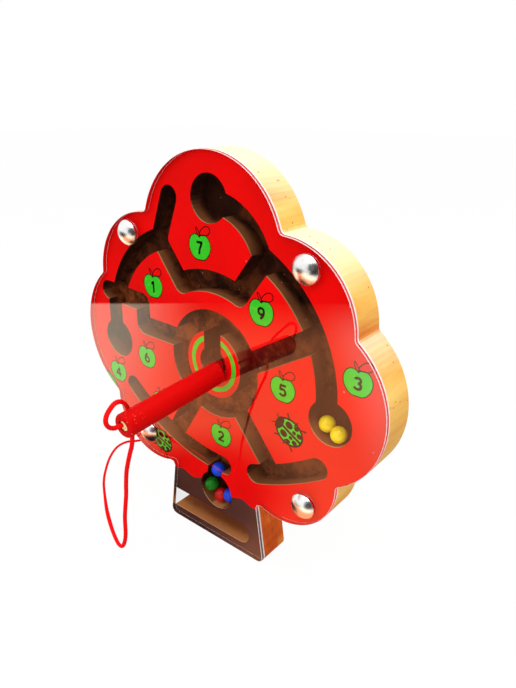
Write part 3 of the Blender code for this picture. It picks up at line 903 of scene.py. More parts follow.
@dataclass
class ClearCover:
    """The acrylic sheet over the maze."""

    edge_softness: float = 0.3 * MM
    wall_slant: float = 0.5
    over_print: float = 0.034 * MM

    def build(self) -> Object:
        """The sheet, with a frosted line along its front edges."""
        finishes = (ClearSheet("clear_acrylic"), FrostedRim("frosted_rim"), SheetWall("cut_wall"))
        cover = copy_of_node("clear_cover", "cover_sheet", [one.material() for one in finishes])
        self.dress(cover.data)
        self.press_down(cover.data)
        soften(cover, self.edge_softness, rim_slot=CoverSurface.RIM.value, marked_only=True)
        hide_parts("clear_cover")
        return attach(cover, "board")

    def dress(self, mesh: Mesh) -> None:
        """Walls where a face looks sideways, sheet where it looks to the front or the back. An edge between
        a wall and the front gets a bevel weight."""
        facing = read(mesh.polygons, "normal", np.float32, 3)[:, 1]
        sideways = np.abs(facing) < self.wall_slant
        slots = np.where(sideways, CoverSurface.WALL.value, CoverSurface.SHEET.value).astype(np.int32)
        mesh.polygons.foreach_set("material_index", slots)
        sizes, edges = read(mesh.polygons, "loop_total"), read(mesh.loops, "edge_index")
        meets = np.zeros((2, len(mesh.edges)), bool)
        for row, faces in zip(meets, (sideways, facing < -self.wall_slant)):
            row[edges[np.repeat(faces, sizes)]] = True
        weights = mesh.attributes.new("bevel_weight_edge", "FLOAT", "EDGE")
        weights.data.foreach_set("value", meets.all(0).astype(np.float32))

    def press_down(self, mesh: Mesh) -> None:
        """Set the sheet's back just over the print: y becomes the face's place less the ink's room."""
        points = read(mesh.vertices, "co", np.float32, 3)
        back = points[:, 1] > points[:, 1].max() - self.over_print
        points[back, 1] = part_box("maze_board")[0].y - self.over_print
        mesh.vertices.foreach_set("co", points.ravel())


@dataclass
class DomeNails:
    """The four bright nails that hold the cover."""

    rim: float = 0.4 * MM
    crown_height: float = 3.3 * MM
    shank_radius: float = 1.0 * MM
    point_length: float = 1.6 * MM
    seat_from_tip: float = 5.0 * MM
    crown_steps: int = 28
    lip: float = 0.12 * MM
    sharp: float = math.radians(50.0)

    def build(self) -> list[Object]:
        """Each nail as a turned dome on a pointed shank."""
        plate = BrightPlate("bright_plate").material()
        nodes = sorted(name for name in frame["nodes"] if name.startswith("dome_nail"))
        return [self.nail(node, plate) for node in nodes]

    def profile(self, seat: float, end: float, radius: float) -> list[Place]:
        """The nail's outline from the dome's top to the shank's point.

        The crown is the cap of a ball of radius B = (R R + h h) / 2 h: at an angle a from the nail's line it
        is B sin a wide and B cos a high, down to where it is R wide.
        """
        ball = (radius ** 2 + self.crown_height ** 2) / (2 * self.crown_height)
        turn = np.linspace(0.0, math.asin(radius / ball), self.crown_steps)
        under = ball - self.crown_height
        crown = np.stack([ball * np.sin(turn), seat - self.rim + under - ball * np.cos(turn)], axis=-1)
        return [*map(tuple, crown), (radius, seat - self.lip), (radius - self.lip, seat),
                (self.shank_radius, seat), (self.shank_radius, end - self.point_length), (0.0, end)]

    def nail(self, node: str, plate: Material) -> Object:
        """One nail in its node's place."""
        low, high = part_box(node)
        centre = ((low.x + high.x) / 2, (low.z + high.z) / 2)
        outline = self.profile(low.y + self.seat_from_tip, high.y, (high.x - low.x) / 2)
        surface = Surface().add(lathe(outline, centre), round_columns=True)
        made = surface.piece(node.replace("dome_nail", "bright_dome"), [plate], self.sharp)
        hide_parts(node)
        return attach(made, "board")


# The printed figures


@dataclass
class FacePrint:
    """Apples with numbers, beetles and a target ring, printed on the board's face. Figures are measured in
    millimetres, films of ink in metres."""

    leaf_ink: PrintInk = PrintInk("green_ink", ink=(0.04, 0.56, 0.02), thin=(0.1, 0.62, 0.05))
    line_ink: PrintInk = PrintInk("black_ink", ink=(0.002, 0.002, 0.002), thin=(0.006, 0.005, 0.005))
    film: float = 0.01 * MM
    lift: float = 0.004 * MM
    line: float = 0.42
    apple_half_width: float = 6.2
    apple_half_height: float = 6.0
    top_dip: Place = (0.24, 0.36)
    foot_dip: Place = (0.08, 0.3)
    shoulder: float = 0.08
    stem_place: Place = (-0.9, 6.0)
    stem_half: Place = (2.2, 0.55)
    stem_lean: float = math.radians(118.0)
    leaf_place: Place = (0.1, 5.4)
    leaf_lean: float = math.radians(24.0)
    leaf_length: float = 6.2
    leaf_half_width: float = 1.7
    leaf_skew: float = 0.3
    digit_height: float = 4.5
    digit_line: float = 1.1
    digit_drop: Place = (0.0, -0.4)
    outline_steps: int = 96
    bend_steps: int = 28
    bar_steps: int = 7
    apples: tuple[tuple[str, Place], ...] = (
        ("1", (-37.0, 123.0)), ("2", (3.8, 59.0)), ("3", (72.2, 107.8)), ("4", (-69.1, 70.0)),
        ("5", (38.5, 94.0)), ("6", (-45.0, 85.0)), ("7", (-6.0, 146.0)), ("8", (-36.2, 62.6)),
        ("9", (27.0, 124.5)),
    )
    beetles: tuple[tuple[Place, float], ...] = (((42.4, 75.5), 150.0), ((-37.6, 40.0), 160.0))
    ring_centre: Place = (0.0, 94.2)
    ring_radii: Span = (11.0, 13.2)
    ring_gap: Span = (-5.3, 4.7)
    ring_rows: int = 4
    shell_half: Place = (6.8, 5.8)
    shell_line: float = 0.9
    head_place: Place = (5.8, 0.0)
    head_half: Place = (1.9, 3.6)
    seam: tuple[Place, Place] = ((4.0, 0.0), (-6.7, 0.0))
    seam_line: float = 1.2
    seam_steps: int = 12
    spots: tuple[Point, ...] = ((1.7, 2.7, 1.9), (-1.7, 4.2, 1.25), (-1.9, 1.7, 1.0), (-4.5, 2.3, 1.35))
    spot_flatness: float = 0.85
    legs: tuple[Place, ...] = ((3.2, 4.6), (-0.4, -0.6), (-3.6, -5.2))
    leg_lean: tuple[float, ...] = (1.0, 1.05, 1.0, 1.1)
    leg_reach: tuple[float, ...] = (4.4, 5.6, 6.3, 7.0)
    leg_line: float = 0.7
    feeler: tuple[Place, ...] = ((7.2, 1.4), (8.1, 2.0), (8.8, 3.0))
    feeler_line: float = 0.5
    face_y: float = field(init=False, default=0.0)

    def build(self) -> list[Object]:
        """The green shapes and the black lines, as thin films of ink."""
        self.face_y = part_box("maze_board")[0].y
        green, black = Surface(), Surface()
        for figure, place in self.apples:
            self.apple(green, black, np.array(place))
            for path in self.figure_paths(figure):
                placed = np.array(place) + self.digit_drop + path * self.digit_height
                self.stroke(black, placed, 1, self.digit_line)
        for place, turn in self.beetles:
            self.beetle(green, black, np.array(place), math.radians(turn))
        self.target_ring(green)
        made = [green.piece("green_prints", [self.leaf_ink.material()]),
                black.piece("black_prints", [self.line_ink.material()])]
        for piece in made:
            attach(piece, "board")
        return made

    def film_points(self, flat: np.ndarray, layer: int, back: bool) -> np.ndarray:
        """Flat (x, z) millimetres as points, in metres, on the front or the back of a film of ink that lies
        over as many films as its layer says."""
        y = self.face_y - self.lift - layer * (self.film + self.lift) - (0.0 if back else self.film)
        return np.stack([flat[..., 0] * MM, np.full(flat.shape[:-1], y), flat[..., 1] * MM], axis=-1)

    def patch(self, target: Surface, outline: np.ndarray, layer: int) -> None:
        """Fill an outline that all shows from its middle: a row of points is drawn in to the middle,
        on the front and again on the back."""
        middle = np.broadcast_to(outline.mean(0), outline.shape)
        rows = [self.film_points(flat, layer, back)
                for flat, back in ((middle, False), (outline, False), (outline, True), (middle, True))]
        target.add(np.stack(rows), round_columns=True)

    def stroke(self, target: Surface, path: np.ndarray, layer: int, width: Optional[float] = None,
               closed: bool = False) -> None:
        """Draw a line: a flat oblong section carried along the path, at right angles to it.

        Args:
            target: the surface that gains the line.
            path: places on the face, in millimetres.
            layer: how many films lie under it.
            width: the line's width in millimetres, or None for the usual one.
            closed: the path ends where it starts.
        """
        half = (width or self.line) / 2
        way = np.roll(path, -1, 0) - np.roll(path, 1, 0) if closed else np.gradient(path, axis=0)
        side = np.stack([-way[:, 1], way[:, 0]], -1) / np.linalg.norm(way, axis=1)[:, None] * half
        corners = ((1, False), (1, True), (-1, True), (-1, False))
        grid = np.stack([self.film_points(path + sign * side, layer, back) for sign, back in corners], axis=1)
        target.add(grid if closed else drawn_in(grid, grid.mean(1)), round_rows=closed, round_columns=True)

    def oval(self, centre: np.ndarray, half: Place, turn: float) -> np.ndarray:
        """An ellipse's outline from its half length and half width, turned by an angle."""
        angle = np.linspace(0.0, math.tau, self.outline_steps, endpoint=False)
        return centre + turned(np.stack([half[0] * np.cos(angle), half[1] * np.sin(angle)], -1), turn)

    def apple_outline(self) -> np.ndarray:
        """An apple about (0, 0): an oval drawn in by a deep dip at the top and a small one below, each with
        a depth and a spread, and wider above its middle than under it."""
        angle = np.linspace(-math.pi / 2, 3 * math.pi / 2, self.outline_steps, endpoint=False)
        top, foot = angle - math.pi / 2, np.minimum(angle + math.pi / 2, 3 * math.pi / 2 - angle)
        reach = 1.0
        for (depth, spread), off in ((self.top_dip, top), (self.foot_dip, foot)):
            reach = reach - depth * np.exp(-(off / spread) ** 2)
        wide = self.apple_half_width * np.cos(angle) * (1.0 + self.shoulder * np.sin(angle))
        return reach[:, None] * np.stack([wide, self.apple_half_height * np.sin(angle)], -1)

    def apple(self, green: Surface, black: Surface, place: np.ndarray) -> None:
        """A green apple with a black outline, a stem and an outlined leaf.

        The leaf is L/2 (1 - cos t) long and W sin t (1 - k cos t) to each side, for t round the circle.
        """
        outline = self.apple_outline() + place
        self.patch(green, outline, 0)
        self.stroke(black, outline, 1, closed=True)
        stem = self.oval(place + self.stem_place, self.stem_half, self.stem_lean)
        self.stroke(black, stem, 1, closed=True)
        angle = np.linspace(0.0, math.tau, self.outline_steps, endpoint=False)
        along = self.leaf_length / 2 * (1.0 - np.cos(angle))
        across = self.leaf_half_width * np.sin(angle) * (1.0 - self.leaf_skew * np.cos(angle))
        leaf = turned(np.stack([along, across], -1), self.leaf_lean)
        self.stroke(black, place + self.leaf_place + leaf, 1, closed=True)

    def beetle(self, green: Surface, black: Surface, place: np.ndarray, turn: float) -> None:
        """A green spotted beetle whose head points along its turn."""
        def put(flat: Any) -> np.ndarray:
            """Places on the beetle, with its head toward +x, as places on the face."""
            return place + turned(np.asarray(flat, float), turn)

        body = self.oval(place, self.shell_half, turn)
        self.patch(green, body, 0)
        self.stroke(black, body, 1, self.shell_line, closed=True)
        self.patch(black, self.oval(put(self.head_place), self.head_half, turn), 1)
        self.stroke(black, put(np.linspace(*self.seam, self.seam_steps)), 1, self.seam_line)
        for side in (1, -1):
            for along, across, size in self.spots:
                half = (size, size * self.spot_flatness)
                self.patch(black, self.oval(put((along, side * across)), half, turn), 1)
            for root, knee in self.legs:
                along = np.multiply((root, root, knee, knee), self.leg_lean)
                leg = np.stack([along, np.multiply(side, self.leg_reach)], -1)
                self.stroke(black, put(leg), 1, self.leg_line)
            self.stroke(black, put(self.feeler * np.array((1, side))), 1, self.feeler_line)

    def target_ring(self, green: Surface) -> None:
        """The ring round the keyhole. At each radius it runs from one straight side of the slot to the
        other, so its ends are cut along the slot."""
        radius = np.linspace(*self.ring_radii, self.ring_rows)[:, None]
        left, right = (np.arccos(side / radius) for side in self.ring_gap)
        angle = left + (math.tau + right - left) * np.linspace(0.0, 1.0, self.outline_steps)[None, :]
        flat = np.stack([self.ring_centre[0] + radius * np.cos(angle),
                         self.ring_centre[1] + radius * np.sin(angle)], -1)
        rim = np.concatenate([flat[0], flat[-1][::-1]])
        for back in (False, True):
            green.add(self.film_points(flat, 0, back))
        green.add(np.stack([self.film_points(rim, 0, back) for back in (False, True)]), round_columns=True)

    def figure_paths(self, figure: str) -> list[np.ndarray]:
        """The strokes of a plain figure from 1 to 9, one unit high about (0, 0). Nine is six turned about."""
        def bend(x: float, z: float, wide: float, high: float, start: float, end: float) -> np.ndarray:
            """A part of an ellipse, (x + a cos t, z + b sin t) between two angles in degrees."""
            t = np.radians(np.linspace(start, end, self.bend_steps))
            return np.stack([x + wide * np.cos(t), z + high * np.sin(t)], -1)

        def bar(*ends: Place) -> np.ndarray:
            """A straight run through each end."""
            return np.concatenate([np.linspace(a, b, self.bar_steps) for a, b in zip(ends, ends[1:])])

        six = [bend(0.0, -0.2, 0.31, 0.3, 0.0, 360.0), bend(0.25, -0.2, 0.56, 0.7, 105.0, 180.0)]
        strokes = {
            "1": [bar((0.06, 0.62), (0.06, -0.62)), bar((-0.24, 0.28), (0.06, 0.52))],
            "2": [np.concatenate([bend(0.0, 0.22, 0.31, 0.28, 170.0, -28.0), bar((0.2, 0.0), (-0.3, -0.46))]),
                  bar((-0.4, -0.5), (0.4, -0.5))],
            "3": [bend(0.0, 0.26, 0.28, 0.24, 160.0, -90.0), bend(0.0, -0.23, 0.32, 0.27, 90.0, -160.0)],
            "4": [bar((0.16, 0.58), (0.16, -0.58)), bar((0.14, 0.5), (-0.38, -0.2)),
                  bar((-0.46, -0.22), (0.44, -0.22))],
            "5": [bar((0.36, 0.5), (-0.3, 0.5)), bar((-0.22, 0.5), (-0.28, 0.0)),
                  bend(-0.01, -0.19, 0.33, 0.31, 142.0, -155.0)],
            "6": six,
            "7": [bar((-0.4, 0.5), (0.38, 0.5)), bar((0.3, 0.5), (0.0, -0.1), (-0.1, -0.62))],
            "8": [bend(0.0, 0.26, 0.25, 0.24, 0.0, 360.0), bend(0.0, -0.23, 0.31, 0.27, 0.0, 360.0)],
            "9": [-path for path in six],
        }
        return strokes[figure]


def turned(flat: np.ndarray, angle: float) -> np.ndarray:
    """Flat points turned about (0, 0)."""
    cosine, sine = math.cos(angle), math.sin(angle)
    return np.stack([flat[..., 0] * cosine - flat[..., 1] * sine,
                     flat[..., 0] * sine + flat[..., 1] * cosine], -1)


# The wand, its cord and the balls


@dataclass
class Wand:
    """The wand: a painted dowel with a magnet in its tip and a peg in its outer end, which hangs a little."""

    length: float = 52.0 * MM
    droop: float = math.radians(3.8)
    edge: float = 0.6 * MM
    bore_radius: float = 4.0 * MM
    bore_depth: float = 5.6 * MM
    magnet_radius: float = 3.7 * MM
    magnet_seat: float = 0.3 * MM
    magnet_length: float = 5.0 * MM
    plating: BrightPlate = BrightPlate("magnet_plating", plate=(0.66, 0.65, 0.63), rough=(0.2, 0.12))
    peg_hole_radius: float = 2.4 * MM
    peg_hole_depth: float = 8.0 * MM
    softness: float = 0.3 * MM
    steps: int = 80
    barrel_rings: int = 24

    def build(self) -> list[Object]:
        """The dowel, the magnet and the peg."""
        made = [self.dowel(), self.magnet(), self.peg()]
        for piece in made:
            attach(piece, "wand")
        return made

    def on_axis(self, profile: Sequence[Place]) -> Surface:
        """A profile turned about the wand's axis, with y = 0 at its tip.

        The grid is tipped about X by the droop d: y becomes y cos d - z sin d and z becomes
        y sin d + z cos d. Then it moves to the tip, which the dowel's box gives.

        Args:
            profile: (radius, y) points, with the outer end toward -y.

        Returns:
            The turned surface in its place.
        """
        low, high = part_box("wand_dowel")
        radius, cosine, sine = (high.x - low.x) / 2, math.cos(self.droop), math.sin(self.droop)
        tip = np.array([(low.x + high.x) / 2, high.y - (radius - self.edge) * sine,
                        high.z - radius * cosine + self.edge * sine])
        x, y, z = np.moveaxis(lathe(profile, (0.0, 0.0), self.steps), -1, 0)
        grid = tip + np.stack([x, y * cosine - z * sine, y * sine + z * cosine], -1)
        return Surface().add(grid, round_columns=True)

    def dowel(self) -> Object:
        """A turned bar, bored at both ends."""
        low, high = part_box("wand_dowel")
        radius, end = (high.x - low.x) / 2, -self.length
        barrel = [(radius, y) for y in np.linspace(end + self.edge, -self.edge, self.barrel_rings)]
        profile = [(0.0, end + self.peg_hole_depth), (self.peg_hole_radius, end + self.peg_hole_depth),
                   (self.peg_hole_radius, end), (radius - self.edge, end), *barrel,
                   (radius - self.edge, 0.0), (self.bore_radius, 0.0),
                   (self.bore_radius, -self.bore_depth), (0.0, -self.bore_depth)]
        made = self.on_axis(profile).piece("painted_dowel", [DowelPaint("dowel_paint").material()])
        soften(made, self.softness, segments=3)
        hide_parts("wand_dowel")
        return made

    def magnet(self) -> Object:
        """A plated disc with chamfered edges."""
        radius, chamfer, front = self.magnet_radius, self.softness, -self.magnet_seat
        back = front - self.magnet_length
        profile = [(0.0, back), (radius - chamfer, back), (radius, back + chamfer),
                   (radius, front - chamfer), (radius - chamfer, front), (0.0, front)]
        made = self.on_axis(profile).piece("tip_magnet", [self.plating.material()])
        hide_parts("wand_magnet")
        return made

    def peg(self) -> Object:
        """The peg with the cord's groove along its side."""
        made = copy_of_node("wand_end_peg", "end_peg", [PegWood("peg_wood").material()])
        soften(made, self.softness / 2)
        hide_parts("wand_end_peg")
        return made


@dataclass
class TetherCord:
    """The flat braided cord from the wand's end to the board's edge, turned on itself at its lowest bend."""

    width: float = 2.05 * MM
    thickness: float = 1.3 * MM
    strands: int = 5
    lay_length: float = 5.0 * MM
    strand_relief: float = 0.16
    face_way: Point = (0.58, -0.72, 0.38)
    turned_from: float = 0.65
    turned_to: float = 0.76
    ring_gap: float = 0.25 * MM
    ring_steps: int = 28
    curve_steps: int = 40
    uv_step: int = 4
    told_step: int = 8
    sharp: float = math.radians(80.0)
    slack_from: Point = (-54.6 * MM, 0.0, 35.5 * MM)
    slack_to: Point = (3.6 * MM, -62.3 * MM, 88.9 * MM)
    route_mm: tuple[Point, ...] = (
        (3.6, -55.2, 89.4), (3.6, -58.6, 89.2), (3.6, -62.0, 89.0), (3.6, -65.2, 89.2), (3.8, -67.7, 90.8),
        (4.1, -69.0, 93.4), (4.5, -68.7, 96.2), (4.8, -67.0, 98.5), (4.6, -64.6, 99.7), (3.8, -61.8, 99.0),
        (2.2, -58.8, 96.6), (0.1, -56.2, 93.6), (-1.5, -54.3, 89.6), (-1.9, -53.5, 84.6),
        (-1.7, -53.4, 78.8), (-2.4, -53.5, 73.6), (-4.4, -53.4, 68.6), (-8.6, -52.6, 58.6),
        (-11.4, -51.6, 49.6), (-13.0, -51.0, 42.6), (-16.4, -50.3, 29.0), (-18.0, -49.9, 17.0),
        (-21.6, -49.2, 8.8), (-27.0, -47.8, 5.4), (-34.0, -45.6, 7.6), (-41.0, -42.8, 13.0),
        (-46.8, -39.4, 17.2), (-53.2, -34.9, 21.7), (-56.4, -30.8, 25.7), (-58.6, -25.8, 30.1),
        (-60.0, -19.8, 32.7), (-60.0, -13.6, 32.8), (-59.0, -8.0, 31.2), (-58.2, -3.6, 30.3),
        (-57.1, -0.8, 31.6), (-55.8, 0.0, 33.7), (-52.9, 0.0, 38.2),
    )

    def path(self) -> np.ndarray:
        """Even steps along a smooth curve: each stretch is a cubic whose handles point along its
        neighbours, at a sixth of the way between them."""
        knots = np.array(self.route_mm) * MM
        padded = np.vstack([knots[:1], knots, knots[-1:]])
        start, end = knots[:-1], knots[1:]
        lead, trail = start + (end - padded[:-3]) / 6, end - (padded[3:] - start) / 6
        share = np.linspace(0.0, 1.0, self.curve_steps, endpoint=False)[:, None, None]
        curve = ((1 - share) ** 3 * start + 3 * share * (1 - share) ** 2 * lead
                 + 3 * share ** 2 * (1 - share) * trail + share ** 3 * end)
        dense = np.vstack([curve.transpose(1, 0, 2).reshape(-1, 3), knots[-1:]])
        walked = np.concatenate([[0.0], np.cumsum(np.linalg.norm(np.diff(dense, axis=0), axis=1))])
        even = np.linspace(0.0, walked[-1], round(walked[-1] / self.ring_gap))
        return np.stack([np.interp(even, walked, dense[:, axis]) for axis in range(3)], -1)

    def tube(self, path: np.ndarray) -> np.ndarray:
        """A braid: an oval ring carried along the path, dipping between strands that wind both ways.

        The ring's width lies square to the path and to face_way, then turns a quarter about the path. At
        angle t and distance s its reach is scaled by 1 - k + k |cos(n (t - w s) / 2) cos(n (t + w s) / 2)|.

        Args:
            path: the centre line.

        Returns:
            A grid whose columns close on themselves, drawn in to a point at both ends.
        """
        way = np.gradient(path, axis=0)
        way /= np.linalg.norm(way, axis=1)[:, None]
        share = np.clip((np.linspace(0.0, 1.0, len(path)) - self.turned_from)
                        / (self.turned_to - self.turned_from), 0.0, 1.0)[:, None]
        turn = share * share * (3.0 - 2.0 * share) * math.pi / 2
        across = np.cross(way, self.face_way)
        across /= np.linalg.norm(across, axis=1)[:, None]
        side = np.cos(turn) * across + np.sin(turn) * np.cross(way, across)
        over = np.cross(way, side)
        angle = np.linspace(0.0, math.tau, self.ring_steps, endpoint=False)[None, :]
        twist = np.arange(len(path))[:, None] * self.ring_gap * math.tau / self.lay_length
        dip = np.abs(np.cos(self.strands * (angle - twist) / 2) * np.cos(self.strands * (angle + twist) / 2))
        scale = (1.0 - self.strand_relief + self.strand_relief * dip)[..., None]
        oval = (self.width / 2 * np.cos(angle)[..., None] * side[:, None]
                + self.thickness / 2 * np.sin(angle)[..., None] * over[:, None])
        return drawn_in(path[:, None] + scale * oval, path)

    def build(self) -> Object:
        """The cord, built along its route from the wand to the board."""
        path = self.path()
        surface = Surface().add(self.tube(path), round_columns=True)
        made = surface.piece("braided_cord", [CordYarn("cord_yarn").material()], self.sharp)
        self.lay_uv(made.data, path)
        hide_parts("tether_cord")
        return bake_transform(made)

    def lay_uv(self, mesh: Mesh, path: np.ndarray) -> None:
        """A UV map: across is the turn round the cord, along is the distance from the wand."""
        points, coarse = read(mesh.vertices, "co", np.float32, 3), path[::self.uv_step]
        nearest = np.linalg.norm(points[:, None] - coarse[None], axis=2).argmin(1)
        off = points - coarse[nearest]
        across = np.arctan2(off[:, 2], off[:, 0]) / math.tau + 0.5
        lay = np.stack([across, nearest * self.ring_gap * self.uv_step], -1)
        corners = lay[read(mesh.loops, "vertex_index")].astype(np.float32)
        mesh.uv_layers.new(name="cord_lay").data.foreach_set("uv", corners.ravel())


class BallColour(Enum):
    """The enamels of the balls: the main colour and its darker blotches."""

    YELLOW = ((0.95, 0.74, 0.002), (0.88, 0.6, 0.002))
    BLUE = ((0.004, 0.07, 0.8), (0.003, 0.045, 0.6))
    GREEN = ((0.002, 0.22, 0.006), (0.002, 0.16, 0.005))
    RED = ((0.68, 0.003, 0.003), (0.52, 0.002, 0.002))


@dataclass
class Balls:
    """The seven painted steel balls."""

    rings: int = 40
    steps: int = 72
    free: tuple[str, ...] = ("yellow_left", "yellow_right", "blue_neck", "green_pocket", "red_pocket",
                             "blue_pocket")

    def build(self) -> list[Object]:
        """Each ball in its node's place."""
        enamels = {}
        for colour in BallColour:
            enamel, darker = colour.value
            paint = BallPaint(f"{colour.name.lower()}_enamel", enamel=enamel, darker=darker)
            enamels[colour] = paint.material()
        bodies = {f"ball_{body}": body for body in self.free} | {"ball_red_held": "held_ball"}
        return [self.ball(node, body, enamels) for node, body in bodies.items()]

    def ball(self, node: str, body: str, enamels: Mapping[BallColour, Material]) -> Object:
        """One ball: a half circle turned about Y, radius R sin a and place -R cos a."""
        low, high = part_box(node)
        middle, radius = (low + high) / 2, (high.z - low.z) / 2
        arc = np.linspace(0.0, math.pi, self.rings)
        profile = np.stack([radius * np.sin(arc), middle.y - radius * np.cos(arc)], -1)
        profile[[0, -1], 0] = 0.0
        surface = Surface().add(lathe(profile, (middle.x, middle.z), self.steps), round_columns=True)
        colour = BallColour[node.split("_")[1].upper()]
        made = surface.piece(node.replace("ball", "painted_ball"), [enamels[colour]])
        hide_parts(node)
        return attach(made, body)


# The studio


@dataclass(frozen=True)
class FloorWhite(Finish):
    """The white sheet under the object. The camera sees it white without end. A mirror sees it as a painted
    glow: warm ahead of the object and dimmed there by a painted shadow of the object, bright beside that,
    plain farther off, and dark where it stops."""

    paper: Colour = (0.55, 0.55, 0.55)
    glow: float = 0.92
    white: float = 1.03
    plain: Colour = (0.7, 0.7, 0.7)
    bright: Colour = (1.5, 1.25, 0.95)
    warm: Colour = (1.2, 0.42, 0.18)
    dim: Colour = (0.012, 0.006, 0.004)
    ahead: Point = (-0.629, -0.777, 0.0)
    aside: Point = (0.777, -0.629, 0.0)
    warm_left: Span = (-110.0 * MM, -20.0 * MM)
    warm_right: Span = (85.0 * MM, 130.0 * MM)
    fades: Span = (230.0 * MM, 400.0 * MM)
    fade_right: Span = (170.0 * MM, 260.0 * MM)
    near_place: Point = (-151.0 * MM, -187.0 * MM, 0.0)
    near_reach: Span = (300.0 * MM, 420.0 * MM)
    edge: Span = (366.0 * MM, 376.0 * MM)
    wedge_behind: float = 227.0 * MM
    wedge_aside: float = 26.0 * MM
    wedge_spread: Span = (0.34, 0.42)
    right: Point = (0.87, -0.49, 0.0)
    right_aside: Point = (0.49, 0.87, 0.0)
    right_edge: Span = (240.0 * MM, 330.0 * MM)
    right_spread: Span = (0.45, 0.65)
    right_least: float = 1.0 * MM
    shadow_place: Point = (-34.0 * MM, -30.0 * MM, 0.0)
    shadow_reach: Span = (30.0 * MM, 80.0 * MM)
    level: Point = (1.0, 1.0, 0.0)

    def shade(self, tree: ShaderTree) -> Socket:
        """Paper that takes the object's shadow, white for the camera, and as a mirror sees it."""
        point = tree.point()
        camera, glossy, through = map(tree.ray, ("Camera", "Glossy", "Transmission"))
        paper = tree.node("ShaderNodeBsdfDiffuse", None, {"Color": (*self.paper, 1.0)})
        white = tree.glow((1.0, 1.0, 1.0), self.white)
        plain, bright, warm, dark = map(tree.glow, (self.plain, self.bright, self.warm, self.dim))
        far, side = tree.dot(point, self.ahead), tree.dot(point, self.aside)
        rightward = side.ramp(*self.warm_left)
        warmth = rightward * (1.0 - side.ramp(*self.warm_right))
        # Painted shadow of the object on the floor, seen only in mirrors.
        shadow = 1.0 - tree.reach(point, self.shadow_place, self.level).ramp(*self.shadow_reach)
        spread = abs(side - self.wedge_aside) / (far + self.wedge_behind)
        beyond = far.ramp(*self.edge) * (1.0 - spread.ramp(*self.wedge_spread))
        faded = far.ramp(*self.fades) * rightward * (1.0 - side.ramp(*self.fade_right))
        away = tree.dot(point, self.right)
        off_right = abs(tree.dot(point, self.right_aside)) / away.largest(self.right_least)
        right_end = away.ramp(*self.right_edge) * (1.0 - off_right.ramp(*self.right_spread))
        dimmed = shadow.largest(beyond).largest(faded).largest(right_end)
        near = 1.0 - tree.reach(point, self.near_place, self.level).ramp(*self.near_reach)
        sheet_seen = tree.blend(near, plain, tree.blend(warmth, bright, warm))
        mirrored = tree.blend(dimmed, sheet_seen, dark)
        sheet = tree.blend(camera.largest(through) * self.glow, paper, white)
        return tree.blend(glossy, sheet, mirrored)


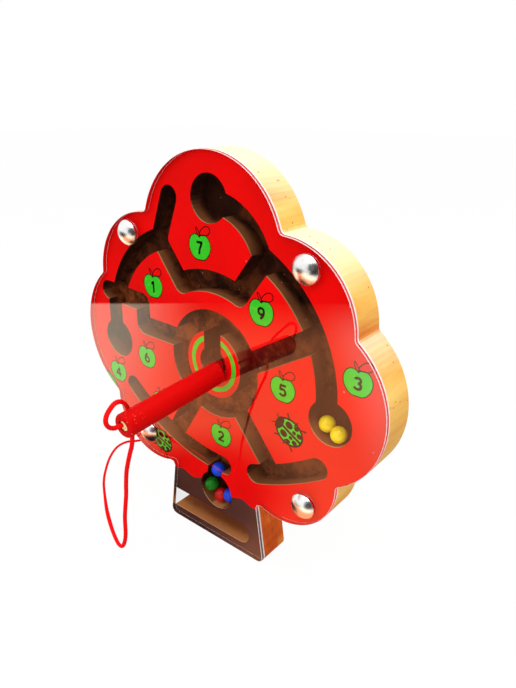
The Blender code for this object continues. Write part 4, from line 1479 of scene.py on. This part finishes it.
@dataclass
class Studio:
    """Floor, light and camera."""

    camera_place: Point = (163.39 * MM, -177.75 * MM, 201.56 * MM)
    azimuth: float = 39.0046
    elevation: float = 22.5482
    roll: float = 0.3387
    focal_pixels: float = 581.737
    image_height: float = 688.0
    sensor: float = 36.0
    floor_half: float = 4.0
    floor_rows: int = 3
    floor_drop: float = 0.1 * MM
    key_place: Point = (0.22, -0.12, 0.8)
    key_aim: Point = (0.0, 0.0, 0.09)
    key_size: float = 0.55
    key_power: float = 4.0
    dome_level: float = 0.84
    front_light: Point = (-0.15, -0.97, 0.2)
    front_spread: Span = (62.0, 30.0)
    front_gain: float = 1.2
    room_dark: Point = (0.85, -0.48, 0.2)
    room_spread: Span = (50.0, 40.0)
    room_depth: float = 0.97
    nearest_seen: float = 10.0 * MM

    def build(self) -> None:
        """Set the stage, the lights, the world and the camera."""
        self.floor()
        self.key_light()
        self.world()
        self.camera()
        bpy.context.scene.view_settings.view_transform = "Standard"

    def floor(self) -> None:
        """A flat square sheet: x and y run over it, z is constant."""
        reach = np.linspace(-self.floor_half, self.floor_half, self.floor_rows)
        x, y = np.meshgrid(reach, reach, indexing="ij")
        surface = Surface().add(np.stack([x, y, np.full_like(x, -self.floor_drop)], -1))
        surface.piece("studio_floor", [FloorWhite("floor_white").material()])

    def key_light(self) -> None:
        """A soft square lamp above and to the right."""
        lamp = bpy.data.lights.new("key_light", "AREA")
        lamp.shape = "SQUARE"
        lamp.size = self.key_size
        lamp.energy = self.key_power
        made = bpy.data.objects.new("key_light", lamp)
        made.location = self.key_place
        aim = Vector(self.key_aim) - Vector(self.key_place)
        made.rotation_euler = aim.to_track_quat("-Z", "Y").to_euler()
        bpy.context.scene.collection.objects.link(made)

    def world(self) -> None:
        """White for the camera; a pale dome, brighter in front, for the light; and for mirrors white with
        one dark stretch of the room."""
        world = bpy.data.worlds.new("studio_world")
        bpy.context.scene.world = world
        tree = ShaderTree(world)
        way = tree.node("ShaderNodeTexCoord", output="Generated")
        camera, glossy = tree.ray("Camera"), tree.ray("Glossy")
        front, room = (tree.dot(way, axis).ramp(*(math.cos(math.radians(edge)) for edge in spread))
                       for axis, spread in ((self.front_light, self.front_spread),
                                            (self.room_dark, self.room_spread)))
        dome = self.dome_level * (1.0 + self.front_gain * front)
        level = dome * (1.0 - glossy) + glossy * (1.0 - room * self.room_depth)
        strength = camera + (1.0 - camera) * level
        lit = tree.node("ShaderNodeBackground", None, {"Color": (1.0, 1.0, 1.0, 1.0), "Strength": strength})
        tree.node("ShaderNodeOutputWorld", None, {"Surface": lit})

    def camera(self) -> None:
        """The photograph's view, from its azimuth, elevation and roll."""
        data = bpy.data.cameras.new("photo_camera")
        data.sensor_width = self.sensor
        data.lens = self.focal_pixels / self.image_height * self.sensor
        data.clip_start = self.nearest_seen
        a, e, r = (math.radians(angle) for angle in (self.azimuth, self.elevation, self.roll))
        back = Vector((math.sin(a) * math.cos(e), -math.cos(a) * math.cos(e), math.sin(e)))
        level = Vector((math.cos(a), math.sin(a), 0.0))
        rise = back.cross(level)
        right = level * math.cos(r) + rise * math.sin(r)
        up = rise * math.cos(r) - level * math.sin(r)
        made = bpy.data.objects.new("photo_camera", data)
        axes = Matrix((right, up, back)).transposed().to_4x4()
        made.matrix_world = Matrix.Translation(self.camera_place) @ axes
        bpy.context.scene.collection.objects.link(made)
        bpy.context.scene.camera = made


def remove_spare_objects() -> None:
    """Remove whatever the start-up file brought."""
    kept = {one.name for one in [*frame["nodes"].values(), *frame["bodies"].values()]}
    for spare in [one for one in bpy.data.objects if one.name not in kept]:
        bpy.data.objects.remove(spare)


def main() -> None:
    """Build the studio and every piece, in order."""
    logging.basicConfig(level=logging.INFO, format="%(message)s")
    remove_spare_objects()
    Studio().build()
    made = [TetherCord().build(), MazeBoard().build(), ClearCover().build()]
    made += FacePrint().build() + DomeNails().build() + Wand().build() + Balls().build()
    for piece in made:
        LOG.info("%s: %d faces", piece.name, len(piece.data.polygons))


if __name__ == "__main__":
    main()
